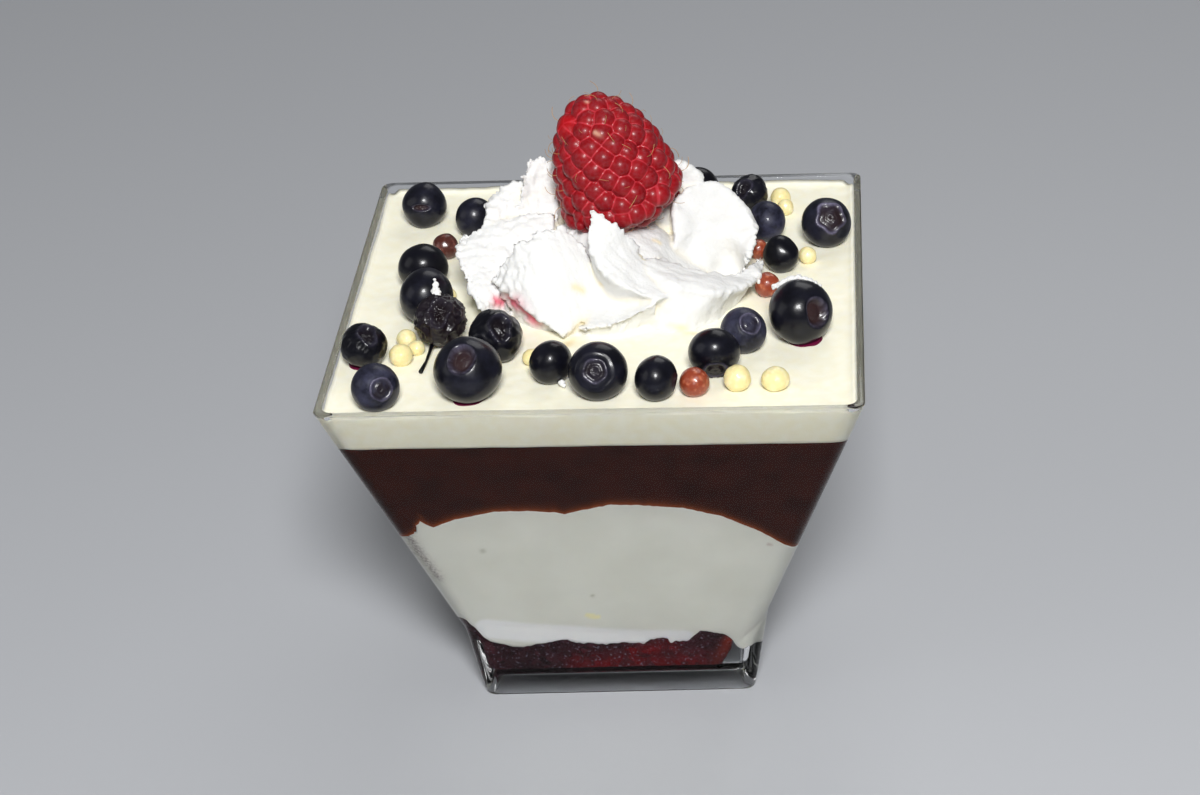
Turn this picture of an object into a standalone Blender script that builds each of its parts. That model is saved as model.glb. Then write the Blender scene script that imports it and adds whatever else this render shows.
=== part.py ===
"""Chocolate mousse served in a clear square plastic cup.

A flared square cup stands on a hollow foot. On its floor lie crumbled fruit cake and berries, then a
white mousse with a domed top, a chocolate mousse round the dome, and a pale cream up to the rim. On the
cream sit a piped cream rosette with a raspberry, loose blueberries and crisp sugar pearls.

Lengths are in metres, +Z is up, the origin is the centre of the foot's underside, and -Y is the front.
"""
import math
import random

import bmesh
import bpy
from mathutils import Matrix, Vector

MM = 0.001
GAP = 0.3 * MM

# Cup
CUP_HEIGHT = 61.5 * MM
RIM_HALF = 40.0 * MM
BASE_HALF = 21.5 * MM
UPPER_TAPER = 0.3443
LOWER_TAPER = 0.1546
LOWER_TURN = math.radians(1.5)
LOWER_TOP = 26.0 * MM
UPPER_WALL = 1.25 * MM
LOWER_WALL = 1.7 * MM
CORNER_RADIUS = 1.8 * MM
CORNER_STEPS = 3
FLOOR_TOP = 5.0 * MM
FLOOR_THICKNESS = 1.2 * MM
FOOT_WALL_BOTTOM = 0.8 * MM
FOOT_WALL_TOP = 1.9 * MM
OVERSHOOT = 9.0 * MM

# Layers: heights above the foot's underside
FRUIT_LEVEL = 10.4 * MM
WHITE_LEVEL = 41.7 * MM
CHOCOLATE_LEVEL = 53.9 * MM
CREAM_LEVEL = 60.2 * MM
LAYER_CELLS = 17
DOME_HALF = 31.0 * MM
DOME_POWER = 3.0
DOME_DROP = {(-1, -1): 8.0 * MM, (1, -1): 12.5 * MM, (-1, 1): 9.0 * MM, (1, 1): 7.0 * MM}
DOME_REACH = 1.6
DOME_RIPPLE = 0.5 * MM
FRUIT_RIPPLE = 0.25 * MM

# Bumps on the fruit layer: x, y, height and spread, in mm
FRUIT_BUMPS = [(-22.5, -19, 4.8, 2.6), (-7.4, -23, 1.1, 2.6), (8.0, -23, 0.9, 1.6), (15.2, -22, 2.2, 2.9),
               (-20, 2, 2.5, 4.0), (-15, 20, 2.0, 3.5), (3, 22, 1.6, 4.0), (16, 16, 2.2, 3.5), (2, 0, 1.2, 7.0)]
FRUIT_END = 16.0 * MM
FRUIT_END_SLOPE = 0.55
FRUIT_END_WAVE = 0.7 * MM
FRUIT_END_STEPS = 14
FRUIT_END_HALF = 28.0 * MM

# Rosette: its axis on the cream, then each lobe: three points of its ridge (radius in mm, azimuth in degrees,
# height in mm), how many degrees its steep side takes before the ridge (less than 0 undercuts it) and its
# broad side after it, and the heights that the broad side falls to at its inner and outer end
ROSETTE_X = 0.3 * MM
ROSETTE_Y = 3.0 * MM
CORE_RADIUS = 17.0 * MM
CORE_HEIGHT = 12.0 * MM
CORE_POWER = 1.7
CORE_RINGS = 8
CORE_SEGMENTS = 24
LOBES = [
    ((7, 122, 12.5), (11, 134, 17.0), (13.9, 147, 18.4), -4, 30, 8.0, 8.0),
    ((8, 140, 12.5), (15, 151, 14.8), (19.0, 164, 12.4), -4, 34, 8.0, 6.0),
    ((8, 165, 11.5), (16, 176, 10.8), (23.2, 184, 9.0), -4, 34, 7.0, 3.0),
    ((9, 232, 13.8), (15, 221, 12.6), (19.8, 212, 6.4), -5, 42, 4.5, 0.6),
    ((10, 256, 6.0), (14, 260, 3.0), (18.8, 260, 1.4), -7, 38, 6.0, 4.8),
    ((9.3, 262, 17.4), (12.4, 266, 10.6), (18.4, 299, 5.2), -6, 45, 11.0, 2.0),
    ((11, 302, 8.0), (20.8, 317, 5.2), (24.2, 346, 3.2), 17, 26, 7.0, 2.0),
    ((11, 12, 13.2), (18.5, 19, 13.6), (23.6, 3, 8.0), 32, 14, 9.0, 5.0),
    ((8, 36, 14.5), (12, 27, 17.6), (16.4, 21, 15.5), 22, 26, 11.0, 8.0),
    ((8, 58, 13.0), (14, 66, 15.0), (20.5, 76, 9.0), -4, 34, 8.0, 4.0),
    ((8, 92, 13.0), (14, 100, 14.5), (20.5, 112, 8.0), -4, 34, 8.0, 4.0),
]
LOBE_STATIONS = 7
LOBE_STEPS = 4
LOBE_UNDERCUT = 0.12
LOBE_NARROWING = 0.6
LOBE_CURVE = 1.5
LOBE_FOOT = -1.0
ROSETTE_VOXEL = 0.7 * MM
ROSETTE_TRIANGLES = 3400

# Raspberry: centre, half length, greatest radius, lean of its axis, and the size of a drupelet
RASPBERRY_AT = (1.4 * MM, 5.2 * MM, 80.3 * MM)
RASPBERRY_HALF = 11.2 * MM
RASPBERRY_RADIUS = 10.0 * MM
RASPBERRY_LEAN = math.radians(-18)
DRUPELET_RADIUS = 1.62 * MM
DRUPELET_PITCH = 2.75 * MM
DRUPELET_ROWS = 8
RASPBERRY_VOXEL = 0.28 * MM
RASPBERRY_TRIANGLES = 2800
OUTLINE_STEPS = 12
OUTLINE_SEGMENTS = 24

# Blueberries: x, y, radius and lift in mm, crown azimuth and elevation in degrees, and shape
BLUEBERRIES = [
    (-31.2, 26.6, 3.75, 0.0, -104, 11, "square"),
    (-22.4, 22.3, 3.3, 0.0, 120, -10, "plain"),
    (-28.6, 3.4, 3.7, 0.0, 100, 20, "plain"),
    (-26.8, -7.2, 4.1, 0.0, 150, 0, "plain"),
    (-23.6, -16.0, 3.8, 1.0, -83, 47, "wrinkled"),
    (-14.9, -20.3, 4.1, 0.0, -111, 56, "dented"),
    (-17.7, -32.2, 5.05, 0.0, -106, 58, "plain"),
    (-34.6, -21.6, 3.5, 0.0, -140, 56, "dented"),
    (-31.1, -34.8, 3.6, 0.0, -68, 20, "plain"),
    (-6.0, -27.6, 3.35, 0.0, 140, 10, "plain"),
    (1.3, -32.2, 4.35, 0.0, -78, 28, "plain"),
    (9.8, -33.1, 3.4, 0.0, 30, -30, "plain"),
    (18.0, -26.2, 3.85, 0.0, 60, -40, "plain"),
    (22.1, -18.9, 3.5, 0.0, -59, 37, "plain"),
    (30.6, -15.6, 4.95, 0.0, -34, 28, "plain"),
    (27.3, 7.2, 3.0, 0.0, 40, 10, "square"),
    (24.8, 18.6, 3.3, 0.0, -73, 19, "plain"),
    (34.4, 16.5, 4.0, 0.0, -73, 36, "plain"),
    (21.9, 30.0, 3.0, 0.0, -120, 40, "dented"),
    (13.6, 32.4, 3.3, 0.0, 60, 20, "plain"),
]
BERRY_SINK = 0.14
BERRY_FLATNESS = 0.9
CROWN_ANGLE = 24
CROWN_WIDTH = 9
CROWN_RISE = 0.05
HOLLOW_WIDTH = 15
HOLLOW_DEPTH = {"plain": 0.16, "square": 0.16, "dented": 0.30, "wrinkled": 0.30}
BERRY_ANGLES = (0, 12, 23, 34, 58, 84, 110, 138, 180)
BERRY_SEGMENTS = 10

# Crisp pearls: x, y, radius and height ratio, in mm
BROWN_PEARLS = [(-26.4, 14.0, 2.1, 1.0), (15.3, -32.6, 2.2, 1.0), (25.3, -1.4, 1.95, 1.0), (23.6, 11.6, 1.6, 1.0)]
PALE_PEARLS = [(-29.1, -21.9, 1.8, 0.95), (-27.2, -18.8, 1.3, 0.9), (-29.0, -16.2, 1.5, 0.95),
               (21.5, -31.3, 2.0, 1.0), (27.0, -31.3, 2.1, 0.85), (26.9, 30.4, 1.65, 1.0),
               (31.4, 9.4, 1.4, 1.0), (-9.4, -22.6, 1.4, 0.9), (-24.3, -1.6, 1.3, 0.9),
               (27.7, 27.2, 1.35, 1.0)]
PEARL_SEGMENTS = 8
PEARL_RINGS = 6


def clear_scene():
    for old in list(bpy.data.objects):
        bpy.data.objects.remove(old)


def material(name, color, roughness, alpha=1.0):
    made = bpy.data.materials.new(name)
    made.use_nodes = True
    shader = made.node_tree.nodes["Principled BSDF"]
    shader.inputs["Base Color"].default_value = (*color, 1.0)
    shader.inputs["Roughness"].default_value = roughness
    shader.inputs["Metallic"].default_value = 0.0
    shader.inputs["Alpha"].default_value = alpha
    return made


def object_from(bm, name, finish=None, smooth_angle=None):
    """Makes an object from a bmesh, shaded smooth below the given angle."""
    bmesh.ops.recalc_face_normals(bm, faces=bm.faces)
    mesh = bpy.data.meshes.new(name)
    bm.to_mesh(mesh)
    bm.free()
    if finish:
        mesh.materials.append(finish)
    made = bpy.data.objects.new(name, mesh)
    bpy.context.scene.collection.objects.link(made)
    if smooth_angle:
        mesh.shade_smooth()
        mesh.set_sharp_from_angle(angle=math.radians(smooth_angle))
    return made


def settle(target):
    """Replaces an object's mesh with what its modifiers make of it, and drops the modifiers."""
    graph = bpy.context.evaluated_depsgraph_get()
    mesh = bpy.data.meshes.new_from_object(target.evaluated_get(graph))
    target.modifiers.clear()
    target.data = mesh


def combine(target, tool, operation):
    """Applies one Boolean to the target and removes the tool."""
    step = target.modifiers.new(operation.lower(), "BOOLEAN")
    step.operation = operation
    step.solver = "EXACT"
    step.object = tool
    tool.hide_render = True
    tool.display_type = "WIRE"
    settle(target)
    bpy.data.objects.remove(tool)


def square_ring(half, height, turn=0.0, radius=CORNER_RADIUS):
    """The corners of a square with rounded corners, as points going round it once."""
    points = []
    for corner in range(4):
        base = math.pi / 4 + corner * math.pi / 2
        centre = (half - radius) * math.sqrt(2)
        cx, cy = centre * math.cos(base), centre * math.sin(base)
        for step in range(CORNER_STEPS + 1):
            angle = base - math.pi / 4 + step * math.pi / 2 / CORNER_STEPS
            x, y = cx + radius * math.cos(angle), cy + radius * math.sin(angle)
            points.append(Matrix.Rotation(turn, 3, "Z") @ Vector((x, y, height)))
    return points


def add_ring(bm, points):
    return [bm.verts.new(p) for p in points]


def bridge(bm, lower, upper):
    count = len(lower)
    for i in range(count):
        j = (i + 1) % count
        bm.faces.new((lower[i], lower[j], upper[j], upper[i]))


def frustum(name, bottom, bottom_half, top, top_half, turn=0.0):
    """A square block with rounded corners whose width changes evenly with height."""
    bm = bmesh.new()
    lower = add_ring(bm, square_ring(bottom_half, bottom, turn))
    upper = add_ring(bm, square_ring(top_half, top, turn))
    bridge(bm, lower, upper)
    bm.faces.new(lower)
    bm.faces.new(upper)
    return object_from(bm, name)


def upper_half(height, inset=0.0):
    return RIM_HALF - UPPER_TAPER * (CUP_HEIGHT - height) - inset


def lower_half(height, inset=0.0):
    return BASE_HALF + LOWER_TAPER * height - inset


def cup_block(name, bottom, top, upper_inset, lower_inset):
    """The space inside the cup's outline, inset from it, between two heights."""
    block = frustum(name, bottom, upper_half(bottom, upper_inset), top, upper_half(top, upper_inset))
    turned = frustum("turned", bottom, lower_half(bottom, lower_inset),
                     LOWER_TOP, lower_half(LOWER_TOP, lower_inset), LOWER_TURN)
    combine(block, turned, "UNION")
    return block


def make_cup():
    """A clear square cup, flared above a slightly turned lower part, with a hollow under its floor."""
    cup = cup_block("cup", 0.0, CUP_HEIGHT, 0.0, 0.0)
    inside = cup_block("inside", FLOOR_TOP, CUP_HEIGHT + OVERSHOOT, UPPER_WALL, LOWER_WALL)
    combine(cup, inside, "DIFFERENCE")
    recess_top = FLOOR_TOP - FLOOR_THICKNESS
    slope = (FOOT_WALL_TOP - FOOT_WALL_BOTTOM) / recess_top
    below = BASE_HALF - FOOT_WALL_BOTTOM + slope * OVERSHOOT
    recess = frustum("recess", -OVERSHOOT, below, recess_top, lower_half(recess_top, FOOT_WALL_TOP), LOWER_TURN)
    combine(cup, recess, "DIFFERENCE")
    cup.data.materials.clear()
    cup.data.materials.append(material("clear plastic", (0.9, 0.92, 0.93), 0.05, 0.3))
    cup.data.set_sharp_from_angle(angle=math.radians(30))
    return cup


def bump(x, y, at_x, at_y, height, spread):
    """The height in metres of a round bump given in millimetres."""
    squared = (x / MM - at_x) ** 2 + (y / MM - at_y) ** 2
    return height * MM * math.exp(-squared / (2 * spread ** 2))


def ripple(x, y, rate_x, start_x, rate_y, start_y):
    """Gentle waves both ways, between -1 and 1, with their rates in radians per millimetre."""
    return math.sin(x / MM * rate_x + start_x) * math.sin(y / MM * rate_y + start_y)


def fruit_top(x, y):
    height = FRUIT_LEVEL + sum(bump(x, y, *entry) for entry in FRUIT_BUMPS)
    return height + FRUIT_RIPPLE * ripple(x, y, 0.9, 1.3, 0.8, 0.4)


def dome_top(x, y):
    """The top of the white mousse: level along the middle, falling towards each corner of the cup."""
    corner = (1 if x > 0 else -1, 1 if y > 0 else -1)
    share = min(DOME_REACH, abs(x) * abs(y) / DOME_HALF ** 2)
    fall = DOME_DROP[corner] * share ** DOME_POWER
    return WHITE_LEVEL - fall - DOME_RIPPLE * ripple(x, y, 0.33, 0.6, 0.29, 1.9)


def outline(rows):
    """The outer points of a square sheet of points, going round it once."""
    right = [row[-1] for row in rows[1:]]
    left = [row[0] for row in rows[-2:0:-1]]
    return rows[0] + right + rows[-1][-2::-1] + left


def triangulate_squares(bm):
    bmesh.ops.triangulate(bm, faces=[face for face in bm.faces if len(face.verts) == 4])


def slab(name, low, high):
    """A block wider than the cup, between two surfaces that are given as heights over x and y."""
    bm = bmesh.new()
    half = RIM_HALF + OVERSHOOT
    steps = [-half + 2 * half * i / LAYER_CELLS for i in range(LAYER_CELLS + 1)]
    sheets = []
    for surface in (low, high):
        sheets.append([[bm.verts.new((x, y, surface(x, y))) for x in steps] for y in steps])
    for rows in sheets:
        for j in range(LAYER_CELLS):
            for i in range(LAYER_CELLS):
                bm.faces.new((rows[j][i], rows[j][i + 1], rows[j + 1][i + 1], rows[j + 1][i]))
    bridge(bm, outline(sheets[0]), outline(sheets[1]))
    triangulate_squares(bm)
    return object_from(bm, name)


def level(height):
    return lambda x, y: height


def raised(surface):
    return lambda x, y: surface(x, y) + GAP


def make_layer(name, low, high, finish):
    """One filling of the cup: the cup's inner space, a gap inside its walls, between two surfaces."""
    layer = cup_block(name, FLOOR_TOP + GAP, CREAM_LEVEL + OVERSHOOT, UPPER_WALL + GAP, LOWER_WALL + GAP)
    combine(layer, slab("between", low, high), "INTERSECT")
    layer.data.materials.clear()
    layer.data.materials.append(finish)
    layer.data.shade_smooth()
    layer.data.set_sharp_from_angle(angle=math.radians(40))
    return layer


def fruit_end_cut():
    """A block over the right-hand end of the floor, whose left face slants and waves."""
    bm = bmesh.new()
    near, far = FLOOR_TOP - OVERSHOOT, FRUIT_LEVEL + OVERSHOOT
    rows = []
    for k in range(FRUIT_END_STEPS + 1):
        y = FRUIT_END_HALF * (2 * k / FRUIT_END_STEPS - 1)
        edge = FRUIT_END + FRUIT_END_WAVE * math.sin(y / MM * 0.55)
        low_x = edge + (near - FLOOR_TOP) * FRUIT_END_SLOPE
        high_x = edge + (far - FLOOR_TOP) * FRUIT_END_SLOPE
        corners = ((low_x, y, near), (RIM_HALF, y, near), (RIM_HALF, y, far), (high_x, y, far))
        rows.append(add_ring(bm, corners))
    for one, other in zip(rows, rows[1:]):
        bridge(bm, one, other)
    bm.faces.new(rows[0])
    bm.faces.new(rows[-1])
    triangulate_squares(bm)
    return object_from(bm, "end cut")


def make_fruit_layer():
    """Dark cake crumbs and crushed berries; their right-hand end slopes and stops short of the wall."""
    finish = material("fruit crumb", (0.13, 0.015, 0.015), 0.5)
    layer = make_layer("fruit_base", level(FLOOR_TOP - OVERSHOOT), fruit_top, finish)
    combine(layer, fruit_end_cut(), "DIFFERENCE")
    return layer


def lathe(profile, segments, swell=None):
    """A closed turned form from (radius, height) points whose first and last lie on the axis."""
    bm = bmesh.new()
    rings = []
    for radius, height in profile[1:-1]:
        ring = []
        for k in range(segments):
            angle = 2 * math.pi * k / segments
            spread = radius * (1 + swell(angle) if swell else 1)
            ring.append(bm.verts.new((spread * math.cos(angle), spread * math.sin(angle), height)))
        rings.append(ring)
    first = bm.verts.new((0, 0, profile[0][1]))
    last = bm.verts.new((0, 0, profile[-1][1]))
    for k in range(segments):
        j = (k + 1) % segments
        bm.faces.new((first, rings[0][k], rings[0][j]))
        bm.faces.new((last, rings[-1][j], rings[-1][k]))
    for lower, upper in zip(rings, rings[1:]):
        bridge(bm, lower, upper)
    return bm


def berry_profile(radius, shape):
    """Half the outline of a blueberry: flattened, with a crown rim round a small hollow at its top."""
    points = []
    for degrees in BERRY_ANGLES:
        angle = math.radians(degrees)
        reach = radius * (1 + CROWN_RISE * math.exp(-((degrees - CROWN_ANGLE) / CROWN_WIDTH) ** 2))
        reach -= radius * HOLLOW_DEPTH[shape] * math.exp(-(degrees / HOLLOW_WIDTH) ** 2)
        points.append((reach * math.sin(angle), BERRY_FLATNESS * reach * math.cos(angle)))
    return points


def berry_swell(shape):
    """How a blueberry's radius varies round its crown."""
    if shape == "square":
        return lambda a: 0.06 * math.cos(4 * a)
    if shape == "wrinkled":
        return lambda a: 0.05 * math.cos(5 * a)
    if shape == "dented":
        return lambda a: 0.05 * math.cos(2 * a) + 0.03 * math.sin(3 * a)
    return lambda a: 0.02 * math.cos(3 * a + 1)


def make_berry(name, entry, finish, grow=0.0):
    """A blueberry resting on the cream with its crown turned as asked; grow makes a larger cutter."""
    x, y, radius, lift, azimuth, elevation, shape = entry
    radius_m = radius * MM
    bm = lathe(berry_profile(radius_m, shape), BERRY_SEGMENTS, berry_swell(shape))
    bmesh.ops.scale(bm, vec=Vector((1, 1, 1)) * (1 + grow / (radius_m * BERRY_FLATNESS)), verts=bm.verts)
    turn = Matrix.Rotation(math.radians(azimuth), 4, "Z") @ Matrix.Rotation(math.radians(90 - elevation), 4, "Y")
    berry = object_from(bm, name, finish, 50)
    height = CREAM_LEVEL + radius_m * (1 - BERRY_SINK) + lift * MM
    berry.matrix_world = Matrix.Translation((x * MM, y * MM, height)) @ turn
    return berry


def make_pearl(name, entry, finish, grow=0.0):
    """A small crisp ball, sunk a little into the cream."""
    x, y, radius, ratio = entry
    radius_m = radius * MM + grow
    profile = []
    for k in range(PEARL_RINGS + 1):
        angle = math.pi * k / PEARL_RINGS
        profile.append((radius_m * math.sin(angle), ratio * radius_m * math.cos(angle)))
    pearl = object_from(lathe(profile, PEARL_SEGMENTS), name, finish, 60)
    pearl.location = (x * MM, y * MM, CREAM_LEVEL + radius * MM * (ratio - BERRY_SINK))
    return pearl


def all_berries(finish, grow=0.0, prefix="blueberry"):
    return [make_berry(f"{prefix}_{k + 1:02d}", entry, finish, grow) for k, entry in enumerate(BLUEBERRIES)]


def all_pearls(brown, pale, grow=0.0, prefix="pearl"):
    made = [make_pearl(f"{prefix}_brown_{k + 1}", entry, brown, grow) for k, entry in enumerate(BROWN_PEARLS)]
    return made + [make_pearl(f"{prefix}_pale_{k + 1}", entry, pale, grow) for k, entry in enumerate(PALE_PEARLS)]


def join_as_one(tools, name):
    """Puts several closed cutters into one object, so that one Boolean cuts them all."""
    bm = bmesh.new()
    bpy.context.view_layer.update()
    for tool in tools:
        part = bmesh.new()
        part.from_mesh(tool.data)
        part.transform(tool.matrix_world)
        copy = bpy.data.meshes.new("copy")
        part.to_mesh(copy)
        part.free()
        bm.from_mesh(copy)
        bpy.data.meshes.remove(copy)
    for tool in tools:
        bpy.data.objects.remove(tool)
    mesh = bpy.data.meshes.new(name)
    bm.to_mesh(mesh)
    bm.free()
    made = bpy.data.objects.new(name, mesh)
    bpy.context.scene.collection.objects.link(made)
    return made


def cut_clear(target, tools):
    """Cuts a solid clear of everything that lies in it, one cutter at a time."""
    for tool in tools:
        combine(target, tool, "DIFFERENCE")


def ridge_point(ridge, share):
    """A point of a lobe's ridge: the curve through its three points, as radius, azimuth and height."""
    weights = ((1 - share) * (1 - 2 * share), 4 * share * (1 - share), share * (2 * share - 1))
    return [sum(w * point[axis] for w, point in zip(weights, ridge)) for axis in range(3)]


def unwrapped(ridge):
    """The ridge with each azimuth within half a turn of the one before it."""
    points = [list(point) for point in ridge]
    for one, other in zip(points, points[1:]):
        other[1] += 360 * round((one[1] - other[1]) / 360)
    return points


def polar(radius, azimuth, height):
    angle = math.radians(azimuth)
    return Vector((ROSETTE_X + radius * MM * math.cos(angle), ROSETTE_Y + radius * MM * math.sin(angle),
                   CREAM_LEVEL + GAP + height * MM))


def lobe_ring(ridge, before, after, end_height, share):
    """A section across a lobe: its foot, its steep side, the ridge, and a broad side that falls away."""
    radius, azimuth, height = ridge_point(ridge, share)
    foot = radius * (1 - LOBE_UNDERCUT * share)
    if before > 0:
        before *= 1 - LOBE_NARROWING * share
    ring = [polar(foot, azimuth - before, LOBE_FOOT)]
    ring.append(polar((foot + radius) / 2, azimuth - 0.55 * before, 0.6 * height))
    for k in range(LOBE_STEPS + 1):
        part = k / LOBE_STEPS
        fall = height + (end_height - height) * part ** LOBE_CURVE
        ring.append(polar(radius, azimuth + after * part, fall))
    ring.append(polar(foot, azimuth + after, LOBE_FOOT))
    ring.append(polar(foot, azimuth + 0.5 * (after - before), LOBE_FOOT))
    return ring


def make_lobe(ridge, before, after, inner_end, outer_end):
    bm = bmesh.new()
    rings = []
    for k in range(LOBE_STATIONS):
        share = k / (LOBE_STATIONS - 1)
        end_height = inner_end + (outer_end - inner_end) * share
        rings.append(lobe_ring(ridge, before, after, end_height, share))
    made = [add_ring(bm, ring) for ring in rings]
    for lower, upper in zip(made, made[1:]):
        bridge(bm, lower, upper)
    bm.faces.new(made[0])
    bm.faces.new(made[-1])
    bmesh.ops.triangulate(bm, faces=bm.faces)
    return object_from(bm, "lobe")


def make_core():
    """The mound in the middle of the rosette, on which the lobes stand."""
    profile = [(0, CORE_HEIGHT)]
    for k in range(1, CORE_RINGS + 1):
        share = k / CORE_RINGS
        profile.append((CORE_RADIUS * share, CORE_HEIGHT * (1 - share ** CORE_POWER)))
    profile.append((CORE_RADIUS, LOBE_FOOT * MM))
    profile.append((0, LOBE_FOOT * MM))
    core = object_from(lathe(profile, CORE_SEGMENTS), "core")
    core.location = (ROSETTE_X, ROSETTE_Y, CREAM_LEVEL + GAP)
    return core


def triangle_count(mesh):
    return sum(len(face.vertices) - 2 for face in mesh.polygons)


def remesh_evenly(target, voxel):
    """Fuses the closed shells of a mesh into one skin of even squares."""
    step = target.modifiers.new("remesh", "REMESH")
    step.mode = "VOXEL"
    step.voxel_size = voxel
    settle(target)


def thin_out(target, triangles):
    """Collapses a dense mesh to about the given number of triangles."""
    step = target.modifiers.new("thin out", "DECIMATE")
    step.ratio = min(1.0, triangles / triangle_count(target.data))
    settle(target)


def drop_scraps(target):
    """Keeps only the largest connected piece of a mesh."""
    bm = bmesh.new()
    bm.from_mesh(target.data)
    left = set(bm.verts)
    groups = []
    while left:
        group = set()
        edge_of_group = [left.pop()]
        while edge_of_group:
            vert = edge_of_group.pop()
            group.add(vert)
            for edge in vert.link_edges:
                other = edge.other_vert(vert)
                if other in left:
                    left.remove(other)
                    edge_of_group.append(other)
        groups.append(group)
    largest = max(groups, key=len)
    scraps = [v for group in groups if group is not largest for v in group]
    bmesh.ops.delete(bm, geom=scraps, context="VERTS")
    bm.to_mesh(target.data)
    bm.free()


def make_rosette():
    """Stiff cream piped through a star nozzle: ragged lobes that lean over each other round a core."""
    finish = material("whipped cream", (0.93, 0.91, 0.85), 0.6)
    parts = [make_lobe(unwrapped(entry[:3]), *entry[3:]) for entry in LOBES] + [make_core()]
    rosette = join_as_one(parts, "whipped_cream")
    remesh_evenly(rosette, ROSETTE_VOXEL)
    thin_out(rosette, ROSETTE_TRIANGLES)
    under = frustum("under", CREAM_LEVEL - OVERSHOOT, RIM_HALF, CREAM_LEVEL + GAP, RIM_HALF)
    combine(rosette, under, "DIFFERENCE")
    rosette.data.materials.clear()
    rosette.data.materials.append(finish)
    rosette.data.shade_smooth()
    rosette.data.set_sharp_from_angle(angle=math.radians(45))
    return rosette


def raspberry_turn():
    """The berry's own +Z leans to the left as seen from the front."""
    return Matrix.Translation(RASPBERRY_AT) @ Matrix.Rotation(RASPBERRY_LEAN, 4, "Y")


def raspberry_radius(share):
    """The berry's radius at a share of its length, from 0 at the open end to 1 at the tip."""
    body = (1 - share ** 2.6) ** 0.5
    return RASPBERRY_RADIUS * body * min(1.0, (share / 0.22 + 0.05) ** 0.45)


def drupelet_centres():
    """Centres of the drupelets: staggered rings from the open end to the tip."""
    draw = random.Random(5)
    reach = RASPBERRY_HALF - DRUPELET_RADIUS
    centres = []
    for row in range(DRUPELET_ROWS):
        share = (row + 0.5) / DRUPELET_ROWS
        radius = raspberry_radius(share) * (1 - DRUPELET_RADIUS / RASPBERRY_RADIUS)
        count = max(1, round(2 * math.pi * radius / DRUPELET_PITCH))
        for k in range(count):
            angle = 2 * math.pi * (k + 0.5 * (row % 2)) / count + draw.uniform(-0.05, 0.05)
            height = (2 * share - 1) * reach + draw.uniform(-0.2, 0.2) * MM
            centres.append(Vector((radius * math.cos(angle), radius * math.sin(angle), height)))
    centres.append(Vector((0, 0, reach)))
    return centres


def ball(centre, radius):
    bm = bmesh.new()
    bmesh.ops.create_icosphere(bm, subdivisions=2, radius=radius, matrix=Matrix.Translation(centre))
    return object_from(bm, "ball")


def berry_body():
    """The flesh that joins the drupelets: the berry's outline, well under their tops."""
    under = 1.1 * DRUPELET_RADIUS
    return turned_outline("body", RASPBERRY_HALF - under, -under)


def make_raspberry():
    """A raspberry of joined drupelets."""
    draw = random.Random(6)
    balls = [ball(centre, DRUPELET_RADIUS * draw.uniform(0.93, 1.05)) for centre in drupelet_centres()]
    berry = join_as_one(balls + [berry_body()], "raspberry")
    remesh_evenly(berry, RASPBERRY_VOXEL)
    thin_out(berry, RASPBERRY_TRIANGLES)
    berry.data.materials.clear()
    berry.data.materials.append(material("raspberry", (0.5, 0.01, 0.02), 0.35))
    berry.data.shade_smooth()
    berry.matrix_world = raspberry_turn()
    return berry


def turned_outline(name, half, grow):
    """The berry's smooth outline as a turned form of the given half length, grown by the given amount."""
    profile = [(0, half)]
    for k in range(1, OUTLINE_STEPS):
        share = 1 - k / OUTLINE_STEPS
        profile.append((raspberry_radius(share) + grow, (2 * share - 1) * half))
    profile.append((0, -half))
    return object_from(lathe(profile, OUTLINE_SEGMENTS), name)


def raspberry_socket():
    """A smooth form just larger than the raspberry, which the cream is cut with."""
    socket = turned_outline("socket", RASPBERRY_HALF + 2 * GAP, 2 * GAP)
    socket.matrix_world = raspberry_turn()
    return socket


def main():
    clear_scene()
    make_cup()
    make_fruit_layer()
    white = material("white mousse", (0.72, 0.71, 0.62), 0.5)
    chocolate = material("chocolate mousse", (0.06, 0.012, 0.006), 0.45)
    cream = material("cream", (0.86, 0.82, 0.66), 0.4)
    make_layer("white_mousse", raised(fruit_top), dome_top, white)
    make_layer("chocolate_mousse", raised(dome_top), level(CHOCOLATE_LEVEL), chocolate)
    topping = make_layer("cream_topping", level(CHOCOLATE_LEVEL + GAP), level(CREAM_LEVEL), cream)
    cut_clear(topping, all_berries(None, GAP, "dent") + all_pearls(None, None, GAP, "dent"))
    rosette = make_rosette()
    cut_clear(rosette, [raspberry_socket()] + all_berries(None, GAP, "dent") + all_pearls(None, None, GAP, "dent"))
    drop_scraps(rosette)
    make_raspberry()
    all_berries(material("blueberry", (0.02, 0.02, 0.05), 0.3))
    brown = material("milk chocolate pearl", (0.3, 0.07, 0.03), 0.25)
    pale = material("white pearl", (0.85, 0.7, 0.4), 0.3)
    all_pearls(brown, pale)


main()
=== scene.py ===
# %% [markdown]
# A chocolate mousse in a clear cup
#
# A square plastic cup holds four layers: crumbled fruit cake, white mousse, chocolate mousse and a pale
# cream. On the cream sit a piped rosette, one raspberry, blueberries and crisp sugar pearls.
#
# The solids were made beforehand as plain closed forms. This lesson dresses them: each step makes one piece
# at its true place, finer than its solid, and gives it the finish of the real food. Lengths are written in
# millimetres and turned to metres, because that is how a cook or a mould maker would measure them.

# %% Load the solids that everything is fitted to
import math
import random

import bmesh
import bpy
import numpy as np
from mathutils import Matrix, Vector, noise


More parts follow.
